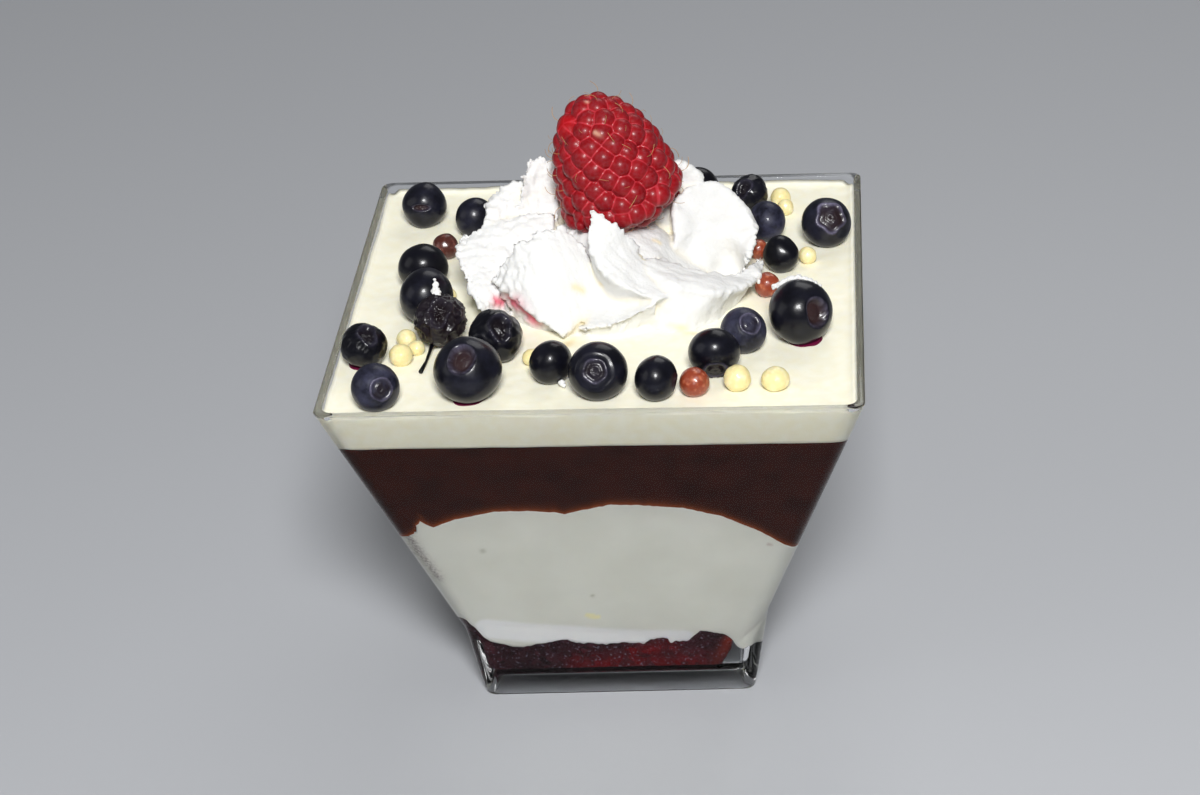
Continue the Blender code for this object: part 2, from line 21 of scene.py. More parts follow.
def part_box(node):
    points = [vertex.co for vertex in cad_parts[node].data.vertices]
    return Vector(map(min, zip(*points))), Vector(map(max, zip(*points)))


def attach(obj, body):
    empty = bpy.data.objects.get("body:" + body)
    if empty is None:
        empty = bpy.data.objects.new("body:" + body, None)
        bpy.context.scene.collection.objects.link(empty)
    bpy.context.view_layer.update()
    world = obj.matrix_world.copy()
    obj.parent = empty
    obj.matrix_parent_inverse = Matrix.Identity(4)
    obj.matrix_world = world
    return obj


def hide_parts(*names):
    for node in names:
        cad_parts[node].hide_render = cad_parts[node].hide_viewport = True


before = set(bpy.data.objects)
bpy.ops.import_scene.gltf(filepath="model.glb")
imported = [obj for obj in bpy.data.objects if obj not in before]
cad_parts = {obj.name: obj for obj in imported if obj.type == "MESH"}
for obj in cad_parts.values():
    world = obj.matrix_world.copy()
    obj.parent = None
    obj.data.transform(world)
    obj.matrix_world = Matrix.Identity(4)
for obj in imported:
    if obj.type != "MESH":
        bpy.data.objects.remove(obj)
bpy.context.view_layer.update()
MM = 0.001

# %% [markdown]
# Colours and nodes
#
# A colour is easiest to pick as an sRGB hex value, which is what a screen shows. Shaders work in linear
# light, so one function turns the one into the other. A second small function adds any node with its
# settings and links, so that each finish below reads as a list of what it is made of. Inputs are given by
# name, or by number where names repeat: a Mix node has its colours at 6 and 7, and a Map Range node takes a
# value (0) from one range (1, 2) to another (3, 4).

# %% One function for colours and one for nodes
def linear(code):
    """A colour given as six hex digits of sRGB, as linear light."""
    channels = [int(code[k:k + 2], 16) / 255 for k in (0, 2, 4)]
    curve = [c / 12.92 if c <= 0.04045 else ((c + 0.055) / 1.055) ** 2.4 for c in channels]
    return (*curve, 1.0)


def add_node(tree, kind, inputs=None, **settings):
    """Adds a node; an input takes a value or the output that feeds it."""
    made = tree.nodes.new(kind)
    for name, value in settings.items():
        setattr(made, name, value)
    for name, value in (inputs or {}).items():
        if isinstance(value, bpy.types.NodeSocket):
            tree.links.new(value, made.inputs[name])
        else:
            made.inputs[name].default_value = value
    return made


def new_finish(name, **sockets):
    """A material with a Principled shader whose plain values are set on its own sockets."""
    made = bpy.data.materials.new(name)
    made.use_nodes = True
    shader = made.node_tree.nodes["Principled BSDF"]
    for socket, value in sockets.items():
        shader.inputs[socket.replace("_", " ")].default_value = value
    return made, made.node_tree, shader


MIX_A, MIX_B, MIX_OUT = 6, 7, 2
print("white in linear light:", linear("ffffff")[:3])

# %% [markdown]
# From points to pieces
#
# Most pieces here are a net of points, ring by ring. A ring net is quick to build, has no seams, and its
# rings can be closed with a fan at each end. Every finished piece rides on the dessert's one body and hides
# the solid that it stands for.

# %% Functions that make and finish a piece
def mesh_from_rings(name, rings, first=None, last=None):
    """A closed mesh over rings of equal length, with a point to close each end."""
    count = len(rings[0])
    points = [p for ring in rings for p in ring]
    faces = []
    for k in range(len(rings) - 1):
        for i in range(count):
            j = (i + 1) % count
            faces.append((k * count + i, k * count + j, (k + 1) * count + j, (k + 1) * count + i))
    for end, ring_start, flip in ((first, 0, True), (last, (len(rings) - 1) * count, False)):
        middle = len(points)
        points.append(end)
        for i in range(count):
            a, b = ring_start + i, ring_start + (i + 1) % count
            faces.append((middle, b, a) if flip else (middle, a, b))
    mesh = bpy.data.meshes.new(name)
    mesh.from_pydata([tuple(p) for p in points], [], faces)
    bm = bmesh.new()
    bm.from_mesh(mesh)
    bmesh.ops.recalc_face_normals(bm, faces=bm.faces)
    bm.to_mesh(mesh)
    bm.free()
    return mesh


def finish_piece(name, mesh, finish, nodes=()):
    """Puts a mesh in the scene as one piece of the dessert."""
    mesh.name = name
    mesh.materials.clear()
    mesh.materials.append(finish)
    mesh.shade_smooth()
    piece = bpy.data.objects.new(name, mesh)
    bpy.context.scene.collection.objects.link(piece)
    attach(piece, "root")
    if nodes:
        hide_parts(*nodes)
    print(f"{name}: {len(mesh.polygons)} faces")


def store_values(mesh, name, values):
    """Keeps one number for each point of a mesh, for its material to read."""
    layer = mesh.attributes.new(name, "FLOAT", "POINT")
    layer.data.foreach_set("value", np.asarray(values, dtype=np.float32))


# %% [markdown]
# The camera, the light and the table
#
# The camera was worked out from the corners of the cup: a long lens about half a metre away, looking down
# by 29 degrees. The highlights on the round berries sit a little above their middles, which puts the main
# light high in front. A wide soft panel there, a weaker one from the left and a pale surround give the
# bright, even light of a food picture.

# %% Camera
CAMERA_AT = Vector((38.80, -411.08, 269.92)) * MM
CAMERA_DOWN, CAMERA_ROLL, CAMERA_YAW = (math.radians(a) for a in (28.92, -3.664, -5.640))
SENSOR_MM = 36.0
PICTURE_WIDTH = 1200
FOCAL_PIXELS = 2977.6


def camera_axes():
    """The camera's right, up and backward directions."""
    ahead = Vector((math.sin(CAMERA_YAW) * math.cos(CAMERA_DOWN),
                    math.cos(CAMERA_YAW) * math.cos(CAMERA_DOWN), -math.sin(CAMERA_DOWN)))
    right = Vector((math.cos(CAMERA_YAW), -math.sin(CAMERA_YAW), 0))
    up = right.cross(ahead)
    rolled_right = math.cos(CAMERA_ROLL) * right + math.sin(CAMERA_ROLL) * up
    rolled_up = math.cos(CAMERA_ROLL) * up - math.sin(CAMERA_ROLL) * right
    return rolled_right, rolled_up, -ahead


lens = bpy.data.cameras.new("camera")
lens.sensor_width = SENSOR_MM
lens.lens = FOCAL_PIXELS / PICTURE_WIDTH * SENSOR_MM
lens.clip_start = 0.01
camera = bpy.data.objects.new("camera", lens)
bpy.context.scene.collection.objects.link(camera)
camera.matrix_world = Matrix.Translation(CAMERA_AT) @ Matrix(camera_axes()).transposed().to_4x4()
bpy.context.scene.camera = camera
print("lens:", round(lens.lens, 1), "mm")

# %% Light
AIM = Vector((0, 0, 40)) * MM
# Name, azimuth and elevation in degrees, distance and size in metres, power in watts
PANELS = [("main light", 8, 42, 0.9, 0.2, 9.4), ("left fill", -70, 25, 1.0, 0.6, 1.0),
          ("back light", 165, 45, 1.0, 0.5, 1.6)]
SURROUND_STRENGTH = 0.13


def soft_panel(name, azimuth, elevation, distance, size, power):
    """A square light panel; azimuth 0 is in front of the cup and 90 on its right."""
    turn, rise = math.radians(azimuth), math.radians(elevation)
    away = Vector((math.sin(turn) * math.cos(rise), -math.cos(turn) * math.cos(rise), math.sin(rise)))
    panel = bpy.data.lights.new(name, "AREA")
    panel.shape = "SQUARE"
    panel.size = size
    panel.energy = power
    lamp = bpy.data.objects.new(name, panel)
    bpy.context.scene.collection.objects.link(lamp)
    lamp.location = AIM + away * distance
    lamp.rotation_euler = (-away).to_track_quat("-Z", "Y").to_euler()


for panel_values in PANELS:
    soft_panel(*panel_values)
world = bpy.data.worlds.new("pale surround")
bpy.context.scene.world = world
world.use_nodes = True
surround = world.node_tree.nodes["Background"]
surround.inputs["Color"].default_value = linear("e6e9ee")
surround.inputs["Strength"].default_value = SURROUND_STRENGTH
bpy.context.scene.view_settings.view_transform = "Standard"
print("light panels:", len(PANELS))

# %% Table
TABLE_HALF = 1.2
# A board painted a neutral light grey, with a satin lacquer that mirrors only softly
table_mesh = bpy.data.meshes.new("table")
corners = [(-1, -1), (1, -1), (1, 1), (-1, 1)]
table_mesh.from_pydata([(x * TABLE_HALF, y * TABLE_HALF, 0) for x, y in corners], [], [(0, 1, 2, 3)])
table = bpy.data.objects.new("table", table_mesh)
bpy.context.scene.collection.objects.link(table)
painted, tree, shader = new_finish("pale satin table", Roughness=0.45)
shader.inputs["Base Color"].default_value = linear("b4b6ba")
table_mesh.materials.append(painted)
print("table:", 2 * TABLE_HALF, "m wide")

# %% [markdown]
# The cup's outline
#
# The cup is a square with rounded corners that flares upwards. Its lower part flares less and is turned by
# a degree and a half, which is why the line between the parts slants. At each height and in each direction
# the wall is where the wider of the two squares is, so one function gives the wall for the cup and for
# every layer that touches it.

# %% Where the cup's wall is
CUP_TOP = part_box("cup")[1][2] / MM
RIM_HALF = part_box("cup")[1][0] / MM
BASE_HALF = 21.5
UPPER_TAPER = 0.3443
LOWER_TAPER = 0.1546
LOWER_TURN = math.radians(1.5)
LOWER_TOP = 26.0
CORNER_RADIUS = 1.8
UPPER_WALL = 1.25
LOWER_WALL = 1.7
FLOOR_TOP = 5.0


def square_reach(half, angle):
    """How far a square with rounded corners reaches from its middle in a direction."""
    turned = (angle + math.pi / 4) % (math.pi / 2) - math.pi / 4
    cosine, sine = math.cos(turned), abs(math.sin(turned))
    centre = half - CORNER_RADIUS
    if half * sine / cosine <= centre:
        return half / cosine
    along = centre * (cosine + sine)
    return along + math.sqrt(CORNER_RADIUS ** 2 - 2 * centre ** 2 + along ** 2)


def upper_reach(angle, height, inset):
    """How far the cup's upper square reaches at a height, less an inset."""
    return square_reach(RIM_HALF - UPPER_TAPER * (CUP_TOP - height) - inset, angle)


def lower_reach(angle, height, inset):
    """The same for the turned square of its lower part."""
    return square_reach(BASE_HALF + LOWER_TAPER * height - inset, angle - LOWER_TURN)


def inner_reach(angle, height, into_wall=0.0):
    """The inner face of the wall, or a layer's face that reaches a little into it."""
    upper = upper_reach(angle, height, UPPER_WALL - into_wall)
    if height > LOWER_TOP:
        return upper
    return max(upper, lower_reach(angle, height, LOWER_WALL - into_wall))


SIDE_STEPS = 9
CORNER_STEPS = 22
CORNER_FROM, CORNER_TO = 41.0, 50.0


def directions(side_steps, corner_steps, front_steps=None):
    """Directions round the cup, close together where the corners are and, if asked, on the front."""
    angles = []
    for quarter in range(4):
        base = 90 * quarter
        side_from = CORNER_TO - 90
        steps = front_steps if front_steps and quarter == 3 else side_steps
        angles += [base + side_from + (CORNER_FROM - side_from) * k / steps for k in range(steps)]
        angles += [base + CORNER_FROM + (CORNER_TO - CORNER_FROM) * k / corner_steps
                   for k in range(corner_steps)]
    return [math.radians(a) for a in angles]


def at(angle, reach, height):
    """The place in metres of a point given by its direction, reach and height in mm."""
    return (reach * math.cos(angle) * MM, reach * math.sin(angle) * MM, height * MM)


print("rim half", RIM_HALF, "mm, height", CUP_TOP, "mm")

# %% [markdown]
# The clear cup
#
# Such cups are injection-moulded from clear polystyrene. It bends light more than glass does, its edges are
# softly rounded by the mould, and handling leaves faint hairline scuffs. The cup is built as one closed
# skin: from the middle of its underside out over the foot, up the outside, over the rim and down the inside
# to the floor. The points in each direction meet the crease exactly, so the crease stays crisp.

# %% Build the cup's skin
EDGE = 0.3
EDGE_STEPS = 3
RECESS_TOP = 3.8
FOOT_WALL_BOTTOM = 0.8
FOOT_WALL_TOP = 1.9
WALL_STEPS = 10
DISC_SHARES = (0.25, 0.5, 0.75, 0.9, 0.97)
HALVINGS = 30


def crease_height(angle, upper_inset, lower_inset):
    """The height at which the two squares are equally wide in a direction."""
    low, high = 0.0, LOWER_TOP
    for _ in range(HALVINGS):
        middle = (low + high) / 2
        if upper_reach(angle, middle, upper_inset) > lower_reach(angle, middle, lower_inset):
            high = middle
        else:
            low = middle
    return low


def cup_column(angle):
    """The cup's skin in one direction, as (reach, height), from under the floor to the floor's top."""
    points = []
    recess = lower_reach(angle, RECESS_TOP, FOOT_WALL_TOP)
    points += [(recess * share, RECESS_TOP) for share in DISC_SHARES]
    points.append((recess, RECESS_TOP - EDGE))
    quarter = [math.pi / 2 * k / EDGE_STEPS for k in range(EDGE_STEPS + 1)]
    points += [(lower_reach(angle, 0, FOOT_WALL_BOTTOM - EDGE * (1 - math.cos(t))), EDGE * (1 - math.sin(t)))
               for t in quarter]
    points += [(lower_reach(angle, 0, EDGE * (1 - math.sin(t))), EDGE * (1 - math.cos(t))) for t in quarter]
    outer = crease_height(angle, 0, 0)
    points += [(lower_reach(angle, z, 0), z) for z in np.linspace(EDGE, outer, WALL_STEPS)[1:]]
    points += [(upper_reach(angle, z, 0), z) for z in np.linspace(outer, CUP_TOP - EDGE, WALL_STEPS)[1:]]
    points += [(upper_reach(angle, CUP_TOP, EDGE * (1 - math.cos(t))), CUP_TOP - EDGE * (1 - math.sin(t)))
               for t in quarter[1:]]
    points += [(upper_reach(angle, CUP_TOP, UPPER_WALL - EDGE * (1 - math.sin(t))),
                CUP_TOP - EDGE * (1 - math.cos(t))) for t in quarter]
    inner = crease_height(angle, UPPER_WALL, LOWER_WALL)
    points += [(upper_reach(angle, z, UPPER_WALL), z)
               for z in np.linspace(CUP_TOP - EDGE, inner, WALL_STEPS)[1:]]
    points += [(lower_reach(angle, z, LOWER_WALL), z)
               for z in np.linspace(inner, FLOOR_TOP + EDGE, WALL_STEPS)[1:]]
    points += [(lower_reach(angle, FLOOR_TOP, LOWER_WALL + EDGE * (1 - math.cos(t))),
                FLOOR_TOP + EDGE * (1 - math.sin(t))) for t in quarter[1:]]
    floor = lower_reach(angle, FLOOR_TOP, LOWER_WALL)
    points += [(floor * share, FLOOR_TOP) for share in reversed(DISC_SHARES)]
    return points


def make_cup_mesh():
    """The cup's skin, made of one column of points in each direction."""
    angles = directions(SIDE_STEPS, CORNER_STEPS)
    columns = [[at(a, *point) for point in cup_column(a)] for a in angles]
    rings = [list(ring) for ring in zip(*columns)]
    return mesh_from_rings("cup", rings, (0, 0, RECESS_TOP * MM), (0, 0, FLOOR_TOP * MM))


# %% Clear polystyrene
# Moulded and polished: clear, with hairline scuffs that only blur its highlights. Polystyrene has an index
# of 1.59. A little less, and a grey tint on what it mirrors, keep the pale floor from veiling the dark mousse
SCUFF_LENGTH, SCUFF_WIDTH = 6.0, 0.25
clear_polystyrene, tree, shader = new_finish(
    "clear polystyrene", Roughness=0.04, IOR=1.5, Transmission_Weight=1.0, Specular_IOR_Level=0.2,
    Specular_Tint=(0.05, 0.05, 0.05, 1.0))
shader.inputs["Base Color"].default_value = linear("fbfcfd")
coords = add_node(tree, "ShaderNodeTexCoord")
stretch = add_node(tree, "ShaderNodeMapping", {
    "Vector": coords.outputs["Object"],
    "Scale": (1 / (SCUFF_LENGTH * MM), 1 / (SCUFF_LENGTH * MM), 1 / (SCUFF_WIDTH * MM))})
scuffs = add_node(tree, "ShaderNodeTexNoise", {"Vector": stretch.outputs[0], "Scale": 1.0, "Detail": 3.0})
fine = add_node(tree, "ShaderNodeMapRange", {0: scuffs.outputs[0], 1: 0.55, 2: 0.75, 3: 0.02, 4: 0.14})
tree.links.new(fine.outputs[0], shader.inputs["Roughness"])
finish_piece("clear_cup", make_cup_mesh(), clear_polystyrene, ["cup"])

# %% [markdown]
# The layers
#
# A layer is spooned or piped onto the one below, so its underside is that one's top. Two height functions
# say where each layer starts and ends: crumbs lie in lumps, the white mousse rises in a dome and falls
# towards the corners, and the chocolate fills what is left. The layers reach a tenth of a millimetre into
# the wall, because wet food wets plastic and no air is left between them.

# %% Levels of the layers
# Bumps are x, y, height and width in mm, and the dome drops by so many mm towards each corner
INTO_WALL = 0.12
FRUIT_LEVEL = 10.4
WHITE_LEVEL = 41.7
CHOCOLATE_LEVEL = 54.25
CREAM_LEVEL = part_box("cream_topping")[1][2] / MM
FRUIT_BUMPS = [
    (-22.5, -19, 4.8, 2.6), (-7.4, -23, 1.1, 2.6), (8.0, -23, 0.9, 1.6), (15.2, -22, 2.2, 2.9),
    (-20, 2, 2.5, 4.0), (-15, 20, 2.0, 3.5), (3, 22, 1.6, 4.0), (16, 16, 2.2, 3.5), (2, 0, 1.2, 7.0)
]
DOME_HALF = 31.0
DOME_POWER = 3.0
DOME_REACH = 1.6
DOME_DROP = {(-1, -1): 8.0, (1, -1): 12.5, (-1, 1): 9.0, (1, 1): 7.0}
RIM_CLIMB, RIM_CLIMB_REACH = 0.35, 0.5
OVERLAP = 0.05
print("levels:", FRUIT_LEVEL, WHITE_LEVEL, CHOCOLATE_LEVEL, round(CREAM_LEVEL, 2), "mm")


# %% Noise and waves
def grain(x, y, z, size):
    """Smooth noise between about -1 and 1 whose lumps are of the given size in millimetres."""
    return noise.noise(Vector((x, y, z)) / size)


def waves(x, y, rate_x, start_x, rate_y, start_y):
    """Long soft waves that cross."""
    return math.sin(x * rate_x + start_x) * math.sin(y * rate_y + start_y)


# %% Lines on the front wall
# The lines that the layers draw on the inner face of the front wall, as x and height
WHITE_FRONT = [
    (-32, 34.0), (-30, 34.7), (-29.2, 35.2), (-28.3, 35.8), (-27.9, 37.5), (-27.3, 37.9), (-26.9, 39.0),
    (-26.5, 37.9), (-25.3, 37.1), (-21.9, 38.8), (-15.9, 40.4), (-10.1, 40.5), (-6.3, 40.1), (-5.1, 39.6),
    (-4.6, 39.9), (-2.1, 40.6), (2, 41.7), (7, 41.4), (12.8, 40.7), (18.3, 38.9), (23.9, 35.4),
    (29, 31.1), (31, 29.2)
]
FRUIT_FRONT = [
    (-23, 16.0), (-22, 14.6), (-20.7, 12.2), (-19.5, 11.0), (-17.1, 10.1), (-14.9, 9.5), (-12.7, 9.9),
    (-10, 10.4), (-7.2, 11.0), (-5.9, 10.3), (-3.7, 10.0), (-1, 9.7), (1.3, 10.1), (4.9, 9.7),
    (5.9, 10.6), (8.6, 10.8), (8.9, 9.8), (11.8, 10.2), (13.5, 11.8), (13.8, 12.4), (16.1, 11.9),
    (17.7, 11.4), (18.7, 10.2), (19.4, 8.7), (20, 8.1), (22, 8.6)
]
WHITE_FRONT_Y = -29.0
FRUIT_FRONT_Y = -21.0
FRONT_DEPTH, FRONT_BLEND = 5, 3.5
print("points on the front lines:", len(WHITE_FRONT), "and", len(FRUIT_FRONT))


# %% Height functions
def meets_front(height, line, x, y, front_y, ragged):
    """Bends a surface so that it meets the front wall along a line."""
    share = min(1.0, max(0.0, (front_y + FRONT_DEPTH - y) / FRONT_BLEND))
    if share == 0:
        return height
    share = share * share * (3 - 2 * share)
    wanted = float(np.interp(x, [p[0] for p in line], [p[1] for p in line])) + ragged * grain(x, y, 8, 0.7)
    return height + (wanted - height) * share


def fruit_top(x, y):
    """Lumps of crumb and fruit."""
    lumps = sum(h * math.exp(-((x - bx) ** 2 + (y - by) ** 2) / (2 * s * s)) for bx, by, h, s in FRUIT_BUMPS)
    height = FRUIT_LEVEL + lumps + 0.25 * waves(x, y, 0.9, 1.3, 0.8, 0.4) + 0.35 * grain(x, y, 0, 1.6)
    return meets_front(height, FRUIT_FRONT, x, y, FRUIT_FRONT_Y, 0.25)


def dome_top(x, y):
    """A flat dome that falls steeply towards the corners."""
    corner = (1 if x > 0 else -1, 1 if y > 0 else -1)
    share = min(DOME_REACH, abs(x) * abs(y) / DOME_HALF ** 2)
    fall = DOME_DROP[corner] * share ** DOME_POWER
    height = WHITE_LEVEL - fall - 0.5 * waves(x, y, 0.33, 0.6, 0.29, 1.9) + 0.12 * grain(x, y, 3, 1.2)
    return meets_front(height, WHITE_FRONT, x, y, WHITE_FRONT_Y, 0.12)


def chocolate_top(x, y):
    """Nearly level, as it was soft when it was poured."""
    return CHOCOLATE_LEVEL + 0.1 * grain(x, y, 5, 6.0)


def cream_top(x, y):
    """Level, with a thin film that climbs the wall."""
    edge = max(abs(x), abs(y)) - (RIM_HALF - UPPER_TAPER * (CUP_TOP - CREAM_LEVEL) - UPPER_WALL)
    climb = RIM_CLIMB * math.exp(edge / RIM_CLIMB_REACH)
    return CREAM_LEVEL + climb + 0.15 * grain(x, y, 7, 9.0) + 0.08 * grain(x, y, 9, 2.2) - OVERLAP


def floor_level(x, y):
    """A hair below the floor's top, so that no air shows under the crumbs."""
    return FLOOR_TOP - OVERLAP


print("middle heights:", [round(top(0, 0), 1) for top in (fruit_top, dome_top, chocolate_top, cream_top)])


# %% Build a layer between two surfaces
SIDE_STEP = 0.5
LAYER_SIDE_STEPS = 60
LAYER_FRONT_STEPS = 180
LAYER_CORNER_STEPS = 16
HEIGHT_ROUNDS = 12


def wall_height(surface, angle):
    """The height at which a surface meets the wall in a direction."""
    height = CHOCOLATE_LEVEL / 2
    for _ in range(HEIGHT_ROUNDS):
        reach = inner_reach(angle, height, INTO_WALL)
        height = surface(reach * math.cos(angle), reach * math.sin(angle))
    return height


def cap_rings(surface, angles, reaches, rings):
    """Rings of a surface from the wall inwards."""
    made = []
    for k in range(rings):
        share = 1 - k / rings
        ring = []
        for angle, reach in zip(angles, reaches):
            x, y = reach * share * math.cos(angle), reach * share * math.sin(angle)
            ring.append((x * MM, y * MM, surface(x, y) * MM))
        made.append(ring)
    return made


def layer_mesh(name, low, high, low_rings, high_rings):
    """A closed layer: its underside from the middle out, the side along the wall, and its top inwards."""
    angles = directions(LAYER_SIDE_STEPS, LAYER_CORNER_STEPS, LAYER_FRONT_STEPS)
    bottoms = [wall_height(low, a) for a in angles]
    tops = [wall_height(high, a) for a in angles]
    steps = max(2, round((max(tops) - min(bottoms)) / SIDE_STEP))
    low_reach = [inner_reach(a, z, INTO_WALL) for a, z in zip(angles, bottoms)]
    high_reach = [inner_reach(a, z, INTO_WALL) for a, z in zip(angles, tops)]
    rings = list(reversed(cap_rings(low, angles, low_reach, low_rings)))
    for k in range(1, steps):
        ring = []
        for angle, bottom, top in zip(angles, bottoms, tops):
            z = bottom + (top - bottom) * k / steps
            ring.append(at(angle, inner_reach(angle, z, INTO_WALL), z))
        rings.append(ring)
    rings += cap_rings(high, angles, high_reach, high_rings)
    return mesh_from_rings(name, rings, (0, 0, low(0, 0) * MM), (0, 0, high(0, 0) * MM))


# %% [markdown]
# The finishes of the layers
#
# Mousse is a foam set with gelatine or chocolate: matt to satin, faintly translucent, and full of tiny
# bubbles that were cut open against the wall. The white one is greyer than the cream over it. The crumb
# layer is soaked with juice, so it is dark and moist, from purple brown to bright red.

# %% Attributes that mark places on a layer
# A crisp mark starts at this closeness and is full after this much more
CRISP_FROM, CRISP_WIDTH = 0.25, 0.2


def near_path(point, path, reach):
    """1 on a path of points in mm, falling to 0 at about twice the reach from it."""
    best = math.inf
    for a, b in zip(path, path[1:] or path):
        along, away = Vector(b) - Vector(a), point - Vector(a)
        share = 0.0
        if along.length > 0:
            share = max(0.0, min(1.0, away.dot(along) / along.length_squared))
        best = min(best, (away - along * share).length)
    return math.exp(-(best / reach) ** 2)


def mark(mesh, name, paths, crisp=False):
    """Stores how close each point of a mesh is to the nearest of some paths, each with its own reach."""
    values = []
    for vert in mesh.vertices:
        point = vert.co / MM
        value = max(near_path(point, path, reach) for path, reach in paths)
        values.append(max(0.0, min(1.0, (value - CRISP_FROM) / CRISP_WIDTH)) if crisp else value)
    store_values(mesh, name, values)


# %% Mousse and cream finishes
BUBBLE_SIZE = 0.5


def foam_finish(name, colour, shade, patch_mm, scatter, gloss, roughness):
    """A set foam: two close shades in soft patches, fine bubbles as bump, and light that enters a little."""
    made, tree, shader = new_finish(
        name, Roughness=roughness, Subsurface_Weight=scatter, Subsurface_Scale=1.0 * MM,
        Subsurface_Radius=(1.0, 0.85, 0.6), IOR=1.4, Specular_IOR_Level=gloss)
    coords = add_node(tree, "ShaderNodeTexCoord")
    patches = add_node(tree, "ShaderNodeTexNoise", {
        "Vector": coords.outputs["Object"], "Scale": 1 / (patch_mm * MM), "Detail": 4.0})
    share = add_node(tree, "ShaderNodeMapRange", {0: patches.outputs[0], 1: 0.35, 2: 0.65})
    mixed = add_node(tree, "ShaderNodeMix", {
        0: share.outputs[0], MIX_A: linear(colour), MIX_B: linear(shade)}, data_type="RGBA")
    bubbles = add_node(tree, "ShaderNodeTexNoise", {
        "Vector": coords.outputs["Object"], "Scale": 1 / (BUBBLE_SIZE * MM), "Detail": 3.0})
    relief = add_node(tree, "ShaderNodeBump", {
        "Height": bubbles.outputs[0], "Strength": 0.15, "Distance": 0.08 * MM})
    tree.links.new(mixed.outputs[MIX_OUT], shader.inputs["Base Color"])
    tree.links.new(relief.outputs[0], shader.inputs["Normal"])
    return made, tree, shader, mixed


def tinted(tree, shader, colour_from, attribute, colour, strength=1.0):
    """Lays a colour over the base colour wherever an attribute is high."""
    place = add_node(tree, "ShaderNodeAttribute", attribute_name=attribute)
    share = add_node(tree, "ShaderNodeMath", {0: place.outputs["Fac"], 1: strength}, operation="MULTIPLY")
    laid = add_node(tree, "ShaderNodeMix", {
        0: share.outputs[0], MIX_A: colour_from.outputs[MIX_OUT],
        MIX_B: linear(colour)}, data_type="RGBA")
    tree.links.new(laid.outputs[MIX_OUT], shader.inputs["Base Color"])
    return laid


# %% White chocolate mousse
# Satin white foam against the wall: dull, a little grey green, with a cleaner white smear at its foot, two
# specks, a yellow dimple, rusty spots, and froth with air in it on the left edge
white_foam, tree, shader, base = foam_finish("white chocolate mousse", "eeeee4", "e8e8dd", 9, 0.1, 0.0, 0.6)
for place, colour, strength in (("smear", "ffffff", 0.85), ("speck", "8f8f6c", 0.5),
                                ("dimple", "f8f2c4", 0.9), ("rust", "8a4a30", 0.7)):
    base = tinted(tree, shader, base, place, colour, strength)
coords = add_node(tree, "ShaderNodeTexCoord")
froth = add_node(tree, "ShaderNodeTexNoise", {
    "Vector": coords.outputs["Object"], "Scale": 1 / (BUBBLE_SIZE * MM), "Detail": 6.0, "Roughness": 0.7})
froth_share = add_node(tree, "ShaderNodeMapRange", {0: froth.outputs[0], 1: 0.40, 2: 0.60})
frothy = add_node(tree, "ShaderNodeMix", {
    0: froth_share.outputs[0], MIX_A: linear("786c64"), MIX_B: linear("dcd8d2")}, data_type="RGBA")
air = add_node(tree, "ShaderNodeAttribute", attribute_name="air")
aired = add_node(tree, "ShaderNodeMix", {
    0: air.outputs["Fac"], MIX_A: base.outputs[MIX_OUT],
    MIX_B: frothy.outputs[MIX_OUT]}, data_type="RGBA")
tree.links.new(aired.outputs[MIX_OUT], shader.inputs["Base Color"])
print(white_foam.name, "has", len(tree.nodes), "nodes")

# %% Dark chocolate mousse and vanilla cream
# Dark chocolate foam: nearly black brown, redder where it thins out over the white
chocolate_foam, tree, shader, base = foam_finish(
    "dark chocolate mousse", "3a1106", "2e0c04", 5, 0.0, 0.0, 0.6)
tinted(tree, shader, base, "thin", "a04e24")
print(chocolate_foam.name, "has", len(tree.nodes), "nodes")

# Pale vanilla cream: satin, warm, slightly see-through
cream_foam, tree, shader, base = foam_finish("pale vanilla cream", "fcf9e6", "faf5dc", 2, 0.15, 0.4, 0.4)
# Painted glow: a yellow tint along the crevices, for light that shines through the cream
tinted(tree, shader, base, "crevice_glow", "e2c27a", 0.6)
print(cream_foam.name, "has", len(tree.nodes), "nodes")

# %% Soaked crumb finish
# Cake crumbs soaked in berry juice: purple brown, wet, with pale flecks, red where crushed fruit lies
CRUMB_SIZE, PATCH_SIZE, FLECK_SIZE = 0.9, 3, 0.4
soaked_crumb, tree, shader = new_finish("soaked fruit crumb", Roughness=0.5, IOR=1.4, Specular_IOR_Level=0.1)
coords = add_node(tree, "ShaderNodeTexCoord")
crumbs = add_node(tree, "ShaderNodeTexVoronoi", {
    "Vector": coords.outputs["Object"], "Scale": 1 / (CRUMB_SIZE * MM)})
cell = add_node(tree, "ShaderNodeSeparateColor", {0: crumbs.outputs["Color"]})
patches = add_node(tree, "ShaderNodeTexNoise", {
    "Vector": coords.outputs["Object"], "Scale": 1 / (PATCH_SIZE * MM), "Detail": 5.0})
brown = add_node(tree, "ShaderNodeMix", {
    0: cell.outputs[0], MIX_A: linear("1a0f13"), MIX_B: linear("4c242c")}, data_type="RGBA")
tone = add_node(tree, "ShaderNodeMapRange", {0: patches.outputs[0], 1: 0.35, 2: 0.65})
toned = add_node(tree, "ShaderNodeMix", {
    0: tone.outputs[0], MIX_A: brown.outputs[MIX_OUT], MIX_B: linear("2c161c")}, data_type="RGBA")
red_place = add_node(tree, "ShaderNodeAttribute", attribute_name="red")
red_grain = add_node(tree, "ShaderNodeMapRange", {0: cell.outputs[1], 1: 0.0, 2: 1.0, 3: 0.3, 4: 0.95})
red_share = add_node(tree, "ShaderNodeMath", {
    0: red_place.outputs["Fac"], 1: red_grain.outputs[0]}, operation="MULTIPLY")
red = add_node(tree, "ShaderNodeMix", {
    0: red_share.outputs[0], MIX_A: toned.outputs[MIX_OUT], MIX_B: linear("760a12")}, data_type="RGBA")
